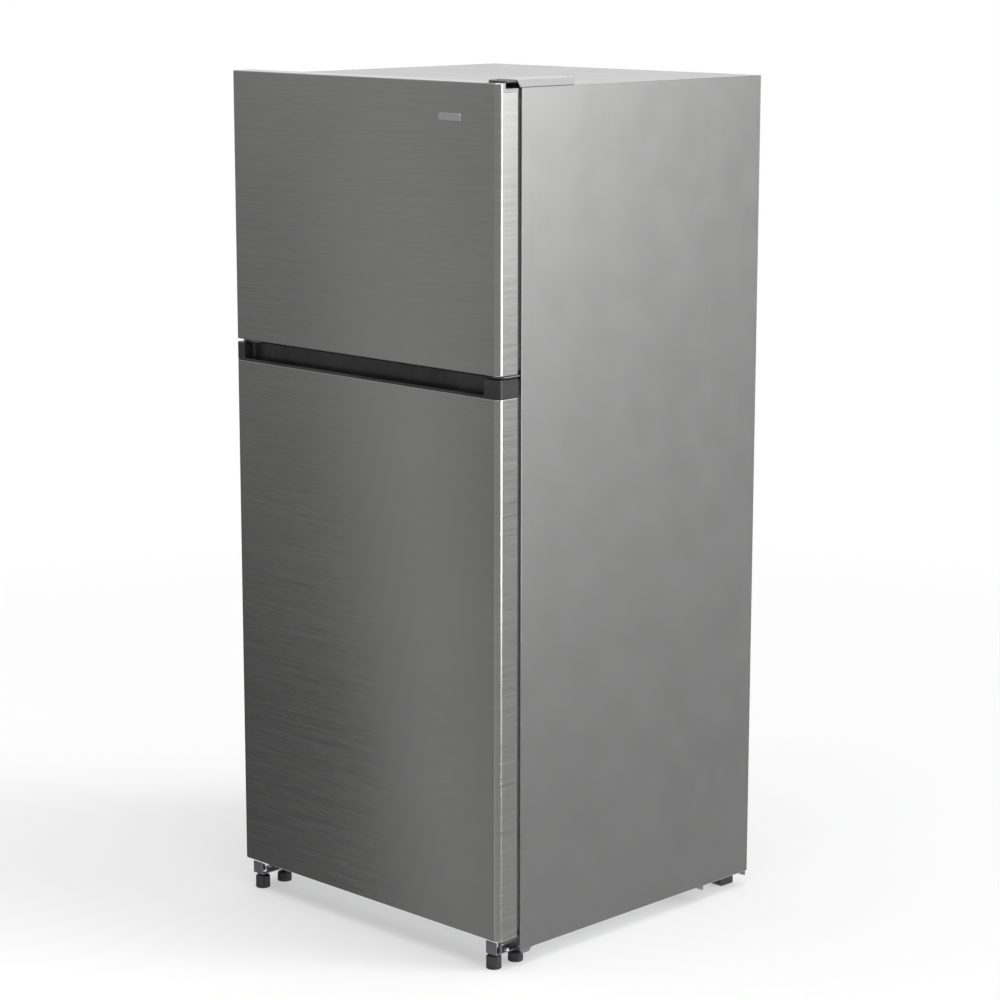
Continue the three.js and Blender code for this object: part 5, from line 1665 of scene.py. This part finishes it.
@dataclass
class CompressorUnit:
    """Hermetic compressor: welded can, rubber feet and pipes."""

    node: str = "compressor"
    seam_radius: float = 0.0745
    seam_height: float = 0.085
    grommet: float = 0.009
    grommet_foot: float = 0.0115
    grommet_top: float = 0.018
    mount_inset: float = 0.014
    mount_half: float = 0.034
    pipe: float = 0.0032
    pipe_bend: float = 0.010
    routes: tuple[tuple[Point, ...], ...] = (
        ((-0.06, -0.02, 0.06), (-0.078, -0.02, 0.06), (-0.078, -0.02, 0.15), (-0.108, -0.02, 0.15)),
        ((-0.055, 0.03, 0.045), (-0.09, 0.03, 0.045), (-0.09, 0.03, 0.18)),
        ((0.0, 0.06, 0.05), (0.0, 0.083, 0.05), (0.0, 0.083, 0.09)))

    def build(self) -> None:
        """Traces the can and adds its seam, feet and pipe stubs."""
        span = Span.of(self.node)
        centre, foot = span.middle, span.low.z
        can = Form.traced(self.node + "_can", self.node).soften(0.0014, 3)
        can.gather(Form.ring("seam", self.seam_radius, 0.0018, (centre.x, centre.y, foot + self.seam_height)))
        can.dress(BLACK_ENAMEL, "cabinet", self.node, smooth=40)
        feet = []
        low, high = foot + self.grommet_foot, foot + self.grommet_top
        for x in (span.low.x + self.mount_inset, span.high.x - self.mount_inset):
            for y in (centre.y - self.mount_half, centre.y + self.mount_half):
                pad = Form.rod("compressor_mounts", self.grommet, (x, y, low), (x, y, high), sides=28)
                pad.steps((0, 0, 1), (0.0012, 0.0006)).soften(0.0006, 2)
                bolt = HexBolt(across=0.009, rise=0.004).build("bolt", (x, y, high + 0.0006), Axis.Z)
                feet.append(pad.gather(bolt))
        feet[0].gather(*feet[1:]).dress(FOOT_PLASTIC, "cabinet")
        base = Vector((centre.x, centre.y, foot))
        pipes = [Form.tube("compressor_pipes", [base + Vector(bend) for bend in route], self.pipe,
                           self.pipe_bend) for route in self.routes]
        pipes[0].gather(*pipes[1:]).dress(FIN_ALUMINIUM, "cabinet")


# ---- Stage ----------------------------------------------------------------------------------
@dataclass(frozen=True)
class Patch:
    """A soft-edged patch of light or shade on the surround.

    Headings are in degrees: 0 in front of the doors, growing towards the left-hand side. Heights run
    from -1, straight down, to 1, straight up.

    Attributes:
        strength: the patch's full value.
        rise: the headings between which it fades in.
        fall: the headings between which it fades out.
        levels: factors by height, each as (value at start, value at end, start, end).
    """

    strength: float
    rise: tuple[float, float]
    fall: tuple[float, float]
    levels: tuple[tuple[float, float, float, float], ...]

    def wire(self, wiring: Wiring, heading: bpy.types.NodeSocket,
             height: bpy.types.NodeSocket) -> bpy.types.NodeSocket:
        """Wires the patch into a node tree, and returns the socket with its value."""
        value = wiring.math("MULTIPLY", wiring.spread(heading, 0.0, self.strength, *self.rise),
                            wiring.spread(heading, 1.0, 0.0, *self.fall))
        for level in self.levels:
            value = wiring.math("MULTIPLY", value, wiring.spread(height, *level))
        return value


@dataclass
class Studio:
    """Pale floor, soft studio light and the camera."""

    eye: tuple[float, float, float] = (4.03229, -4.06587, 1.95973)
    heading: float = 44.68627
    pitch: float = -11.19024
    roll: float = -0.03085
    lens: float = 102.4542
    sensor: float = 36.0
    far_clip: float = 200.0
    floor_size: float = 80.0
    pool: tuple[float, float] = (1.1, 4.0)
    near_shade: float = 0.42
    near_lift: float = 0.435
    matt_shade: float = 0.7
    room: tuple[tuple[float, float], ...] = ((0.0, 1.5), (0.2, 1.2), (0.28, 0.42), (0.5, 0.39),
                                             (0.6, 0.5), (1.0, 0.8))
    wing: Patch = Patch(1.0, (48.9, 49.8), (80.0, 110.0), ((0.84, 0.0, -0.26, 0.0),))
    wing_lean: float = 9.0
    dusk: Patch = Patch(0.7, (38.0, 43.5), (44.2, 46.4), ((1.0, 0.25, -0.16, -0.13),))
    noon: Patch = Patch(0.5, (20.0, 35.0), (60.0, 80.0), ((1.5, 0.0, -0.32, -0.12),))
    side_field: tuple[float, float] = (-120.0, -60.0)
    side_height: tuple[float, float] = (-0.4, 0.1)
    side_wall: tuple[tuple[float, float], ...] = ((0.0, 0.0), (0.25, 0.0), (0.45, 0.1),
                                                  (0.8, 0.12), (1.0, 0.1))
    glow: Patch = Patch(4.9, (-137.8, -132.6), (-122.0, -98.0), ((0.0, 1.0, -0.155, 0.03),))
    lamp: Patch = Patch(9.0, (-133.5, -118.0), (-104.0, -84.0), ((0.0, 1.0, -0.225, -0.18),
                                                                 (1.0, 0.0, -0.15, -0.12)))
    softbox_place: Point = (0.3, -0.8, 4.4)
    softbox_target: Point = (0.0, 0.0, 0.8)
    softbox_side: float = 3.4
    softbox_power: float = 95.0

    def _camera(self) -> None:
        """A long lens a little above the freezer door, to the right of the front."""
        camera = bpy.data.objects.new("camera", bpy.data.cameras.new("camera"))
        camera.data.lens = self.lens
        camera.data.sensor_width = self.sensor
        camera.data.clip_end = self.far_clip
        camera.location = self.eye
        camera.rotation_euler = (math.radians(90 + self.pitch), math.radians(self.roll),
                                 math.radians(self.heading))
        bpy.context.scene.collection.objects.link(camera)
        bpy.context.scene.camera = camera

    def _floor(self) -> None:
        """A wide pale floor that brightens away from the middle, and that gloss looks through."""
        Form.release()
        bpy.ops.mesh.primitive_plane_add(size=self.floor_size, location=(0, 0, 0))
        floor = bpy.context.object
        floor.name = "studio_floor"
        material = bpy.data.materials.new("studio floor")
        material.use_nodes = True
        material.node_tree.nodes.clear()
        wiring = Wiring(material.node_tree)
        distance = wiring.add("VectorMath", {0: wiring.add("TexCoord").outputs["Object"]}, operation="LENGTH")
        far = wiring.add("MapRange", {"Value": distance.outputs["Value"], "From Min": self.pool[0],
                                      "From Max": self.pool[1]}, interpolation_type="SMOOTHSTEP")
        near = wiring.add("BsdfDiffuse", {"Color": (self.near_shade, self.near_shade, self.near_shade, 1.0)})
        lift = wiring.add("Emission", {"Color": (1.0, 1.0, 1.0, 1.0), "Strength": self.near_lift})
        pale = wiring.add("AddShader", {0: near.outputs[0], 1: lift.outputs[0]})
        white = wiring.add("Emission", {"Color": (1.0, 1.0, 1.0, 1.0), "Strength": 1.0})
        shown = wiring.add("MixShader", {0: far.outputs[0], 1: pale.outputs[0], 2: white.outputs[0]})
        path = wiring.add("LightPath")
        matt = wiring.add("BsdfDiffuse", {"Color": (self.matt_shade, self.matt_shade, self.matt_shade, 1.0)})
        open_air = wiring.add("BsdfTransparent")
        felt = wiring.add("MixShader", {0: path.outputs["Is Glossy Ray"], 1: matt.outputs[0],
                                        2: open_air.outputs[0]})
        floor_shader = wiring.add("MixShader", {0: path.outputs["Is Camera Ray"], 1: felt.outputs[0],
                                                2: shown.outputs[0]})
        output = wiring.add("OutputMaterial")
        wiring.tree.links.new(floor_shader.outputs[0], output.inputs["Surface"])
        floor.data.materials.append(material)

    def _softbox(self) -> None:
        """One wide soft light above, a little in front."""
        data = bpy.data.lights.new("overhead", "AREA")
        data.shape = "RECTANGLE"
        data.size = data.size_y = self.softbox_side
        data.energy = self.softbox_power
        light = bpy.data.objects.new("overhead", data)
        light.location = self.softbox_place
        way = Vector(self.softbox_target) - Vector(self.softbox_place)
        light.rotation_euler = way.to_track_quat("-Z", "Y").to_euler()
        bpy.context.scene.collection.objects.link(light)

    def _surround(self) -> None:
        """White to the camera; to the object, a room with patches of shade and of light."""
        world = bpy.data.worlds.new("surround")
        bpy.context.scene.world = world
        world.use_nodes = True
        world.node_tree.nodes.clear()
        wiring = Wiring(world.node_tree)
        way = wiring.add("SeparateXYZ", {0: wiring.add("TexCoord").outputs["Generated"]})
        height = way.outputs["Z"]
        turn = wiring.math("ARCTAN2", wiring.math("MULTIPLY", way.outputs["X"], -1.0),
                           wiring.math("MULTIPLY", way.outputs["Y"], -1.0))
        heading = wiring.math("MULTIPLY", turn, math.degrees(1.0))
        room = wiring.ramp(wiring.spread(height, 0.0, 1.0, -1.0, 1.0), self.room)
        leaning = wiring.math("SUBTRACT", heading, wiring.math("MULTIPLY", height, self.wing_lean))
        bright = wiring.math("ADD", 1.0, self.noon.wire(wiring, heading, height))
        lit = wiring.math("MULTIPLY", room, bright)
        for shade, around in ((self.dusk, heading), (self.wing, leaning)):
            kept = wiring.math("SUBTRACT", 1.0, shade.wire(wiring, around, height))
            lit = wiring.math("MULTIPLY", lit, kept)
        level = wiring.spread(height, 0.0, 1.0, *self.side_height)
        wall = wiring.math("MULTIPLY", wiring.spread(heading, 1.0, 0.0, *self.side_field),
                           wiring.ramp(level, self.side_wall))
        light = wiring.math("ADD", lit, wall)
        for source in (self.glow, self.lamp):
            light = wiring.math("ADD", light, source.wire(wiring, heading, height))
        felt = wiring.add("Background", {"Color": (1.0, 1.0, 1.0, 1.0), "Strength": light})
        white = wiring.add("Background", {"Color": (1.0, 1.0, 1.0, 1.0), "Strength": 1.0})
        seen = wiring.add("LightPath").outputs["Is Camera Ray"]
        mix = wiring.add("MixShader", {0: seen, 1: felt.outputs[0], 2: white.outputs[0]})
        output = wiring.add("OutputWorld")
        wiring.tree.links.new(mix.outputs[0], output.inputs["Surface"])

    def build(self) -> None:
        """Sets the stage."""
        self._camera()
        self._floor()
        self._surround()
        self._softbox()
        bpy.context.scene.view_settings.view_transform = "Standard"


# ---- Assembly -------------------------------------------------------------------------------
FINISH_OF_SLOT = {finish.slot: finish for finish in (
    DOOR_STEEL, SIDE_STEEL, TOP_STEEL, ZINC_STEEL, FOAM, WHITE_PLASTIC, SHELF_GLASS, CLEAR_PLASTIC,
    LAMP_PLASTIC, GREY_PLASTIC, BLACK_PLASTIC, FOOT_PLASTIC, GASKET_RUBBER, FIN_ALUMINIUM,
    BLACK_ENAMEL, HINGE_STEEL, BRACKET_STEEL)}


def dress_cad_nodes() -> None:
    """Gives every CAD node the finish of its material slot, for those that stay in view."""
    for part in frame["record"]["subparts"]:
        node = frame["nodes"][part["node"]]
        node.data.materials.clear()
        node.data.materials.append(FINISH_OF_SLOT[part["material_slot"]].material())


def build_doors() -> None:
    """Builds both doors' outsides and seals."""
    DoorSkin("freezer_door_skin", "freezer_door").build(skirts=True)
    DoorSkin("fridge_door_skin", "fridge_door").build()
    TracedPiece("freezer_door_top_cap", "freezer_door", GREY_PLASTIC, 0.0007, 3).build()
    # the bottom caps take a darker copy of the grey plastic: painted shade for the shadow under the doors
    TracedPiece("freezer_door_bottom_cap", "freezer_door", CAP_PLASTIC_PAINTED_SHADE, 0.0007, 3).build()
    TracedPiece("fridge_door_bottom_cap", "fridge_door", CAP_PLASTIC_PAINTED_SHADE, 0.0007, 3).build()
    HandleCap().build()
    NamePlate().build()
    DoorGasket("freezer_door_gasket", "freezer_door").build()
    DoorGasket("fridge_door_gasket", "fridge_door").build()


def build_cabinet() -> None:
    """Builds the cabinet's outside, its hinges and its feet."""
    CabinetShell().build()
    HingeCover().build()
    for node, finish in (("top_hinge", HINGE_STEEL), ("middle_hinge", BRACKET_STEEL),
                         ("lower_bracket_right", BRACKET_STEEL), ("lower_bracket_left", BRACKET_STEEL)):
        TracedPiece(node, "cabinet", finish, 0.0005).build()
    for node in ("front_rail", "mullion_rail"):
        TracedPiece(node, "cabinet", SIDE_STEEL, 0.0003).build()
    TracedPiece("base_plate", "cabinet", ZINC_STEEL, 0.0003).build()
    HingeFixings().build()
    for side in Side:
        LevellingFoot("front", 0.027, 0.005).build(side)
        LevellingFoot("inner", 0.020, 0.0065).build(side)
        TracedPiece("rear_foot_" + side.word, "cabinet", FOOT_PLASTIC, 0.0022, 3).build()


def build_interior() -> None:
    """Builds the liners, the shelves, the bins and drawers, and the temperature control."""
    Compartment("freezer_liner", 0.317, 1.1962, 1.632, ("freezer_shelf",), 0.22475).build()
    Compartment("fridge_liner", 0.330, 0.112, 1.1202,
                ("fridge_shelf_upper", "fridge_shelf_middle", "crisper_cover"), 0.29275,
                step_top=0.299, step_front=0.12375, step_rear=0.15875, guide_level=0.2546).build()
    DoorLining("freezer_door_liner", "freezer_door", 0.304, 1.2092, 1.619).build()
    DoorLining("fridge_door_liner", "fridge_door", 0.317, 0.125, 1.1072).build()
    for node in ("freezer_shelf", "fridge_shelf_upper", "fridge_shelf_middle", "crisper_cover"):
        GlassShelf(node).build()
    for node, body in (("freezer_door_bin_lower", "freezer_door"), ("freezer_door_bin_upper", "freezer_door"),
                       ("fridge_door_bin_lower", "fridge_door"), ("fridge_door_bin_middle", "fridge_door"),
                       ("fridge_door_bin_upper", "fridge_door")):
        Tray(node, body, CLEAR_PLASTIC, dip_length=0.030, dip_depth=0.034).build()
    for side in Side:
        Tray("crisper_" + side.word, side.word + "_drawer", CLEAR_PLASTIC, wall=0.003,
             grip_height=0.022).build()
    Tray("ice_bin", "cabinet", CLEAR_PLASTIC).build()
    TemperatureControl().build()


def build_cooling() -> None:
    """Builds the evaporator behind its cover and the machine compartment."""
    for node, finish, edge in (("evaporator_cover", WHITE_PLASTIC, 0.0007),
                               ("evaporator_fan_motor", GREY_PLASTIC, 0.0012),
                               ("condenser_fan_mount", ZINC_STEEL, 0.0006),
                               ("compressor_cover", ZINC_STEEL, 0.0002),
                               ("bottom_panel", ZINC_STEEL, 0.0003),
                               ("cord_gland", BLACK_PLASTIC, 0.0009)):
        TracedPiece(node, "cabinet", finish, edge).build()
    FinnedCoil("evaporator_coil", 60, 6, 2).build()
    FinnedCoil("condenser_coil", 44, 5, 3).build()
    BladedFan("evaporator_fan", "freezer_blower", 0.046, 0.020, Axis.Y, 5).build()
    BladedFan("condenser_fan", "machine_blower", 0.055, 0.022, Axis.X, 5).build()
    Tray("drip_pan", "cabinet", BLACK_PLASTIC, corner=0.008, foot=0.004).build()
    CompressorUnit().build()


def main() -> None:
    """Builds the refrigerator's looks around its frame, then the stage."""
    logging.basicConfig(level=logging.INFO, format="%(name)s: %(message)s")
    dress_cad_nodes()
    build_cabinet()
    build_doors()
    build_interior()
    build_cooling()
    Studio().build()


if __name__ == "__main__":
    main()
